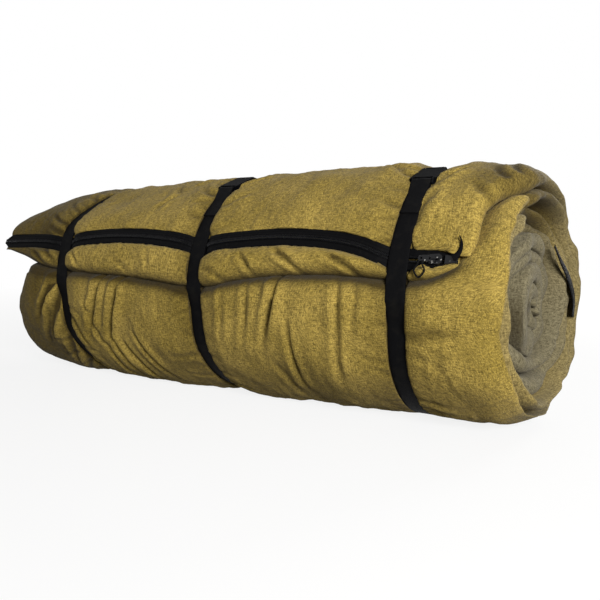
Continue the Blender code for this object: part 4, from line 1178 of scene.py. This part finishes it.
def webbing_material():
    """Plain-woven polypropylene: ribs 1.3 mm apart, crossed by rows 1.5 mm apart, faintly shiny."""
    web = new_material("black_polypropylene_webbing")
    uv = add_node(web, "UVMap", uv_map="weave")
    ribs = {"Vector": uv, "Scale": 250.0, "Distortion": 0.4}
    wave = add_node(web, "TexWave", ribs, "Fac", bands_direction="Y")
    rows = {"Vector": uv, "Scale": 210.0, "Distortion": 0.3}
    cross = add_node(web, "TexWave", rows, "Fac", bands_direction="X")
    both = add_node(web, "Math", {0: wave, 1: cross}, operation="MULTIPLY")
    worn = add_node(web, "TexNoise", {"Vector": uv, "Scale": 60.0, "Detail": 5.0})
    colour, _ = lay_colours(web, "#060607", (worn, 0.52, 0.78, 0.0, 0.35, "#211F1B"))
    bump = add_node(web, "Bump", {"Height": both, "Strength": 0.7, "Distance": 0.0004})
    inputs = {"Base Color": colour, "Roughness": 0.7, "Normal": bump, "Specular IOR Level": 0.05}
    return end_material(web, inputs)


webbing = webbing_material()
for side in STRAP_PLACES:
    strap = make_strap(side)
    strap.data.materials.append(webbing)
    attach(strap, "bag")
    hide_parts("strap_" + side)


# Each buckle is a side-release pair, injection moulded in black acetal: a socket on the
# sewn end, and a plug with two sprung arms, whose bar also holds the webbing's tail.


def moulded_acetal():
    """Acetal from a spark-eroded mould: black with a soft sheen, a fine, even grain and scuffs."""
    acetal = new_material("black_moulded_acetal")
    place = add_node(acetal, "TexCoord", out="Object")
    grain = add_node(acetal, "TexNoise", {"Vector": place, "Scale": 1500.0, "Detail": 2.0})
    scuff = add_node(acetal, "TexNoise", {"Vector": place, "Scale": 160.0, "Detail": 6.0})
    colour, worn = lay_colours(acetal, "#060607", (scuff, 0.5, 0.75, 0.0, 1.0, "#1A1A1B"))
    gloss = add_node(acetal, "MapRange", {"Value": worn, "To Min": 0.45, "To Max": 0.60})
    bump = add_node(acetal, "Bump", {"Height": grain, "Strength": 0.2, "Distance": 0.0001})
    inputs = {"Base Color": colour, "Roughness": gloss, "Normal": bump, "IOR": 1.48}
    return end_material(acetal, inputs | {"Specular IOR Level": 0.005})


acetal = moulded_acetal()
for side in STRAP_PLACES:
    dress("socket_" + side, acetal)
    dress("plug_" + side, acetal)


# The dark tape at the right end is a spare end of the binding, which lies loose over the
# turns there. Its line is in mm from the roll's axis.

END_TAPE = np.array([
    (428, 46, 68), (431, 55, 57), (434.5, 66, 45), (438.5, 84, 30), (442, 102, 12),
    (444.5, 117, -10), (444.5, 113, -32),
]) / 1000


def make_end_tape():
    """A ribbon along a line on the end's face, 5 mm wide at first and 18 mm at its cut end."""
    line = curve_through(END_TAPE, 4) + (0.0, 0.0, AXIS_Z)
    ahead = unit(np.gradient(line, axis=0))
    side = unit(np.cross(ahead, (1.0, 0.0, 0.0)))
    half = 0.0025 + 0.0065 * ease(0.0, 1.0, np.linspace(0, 1, len(line)))
    across = np.array([-1.0, -0.5, 0.5, 1.0, 1.0, 0.5, -0.5, -1.0]) * half[:, None]
    height = np.array([0.0, 0.2, 0.2, 0.0, -0.9, -0.9, -0.9, -0.9]) / 1000
    return tube_object("loose_end_tape", beside(line, across, side, height, np.cross(side, ahead)))


end_tape = make_end_tape()
end_tape.data.materials.append(webbing)
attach(end_tape, "bag")
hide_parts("end_tape")
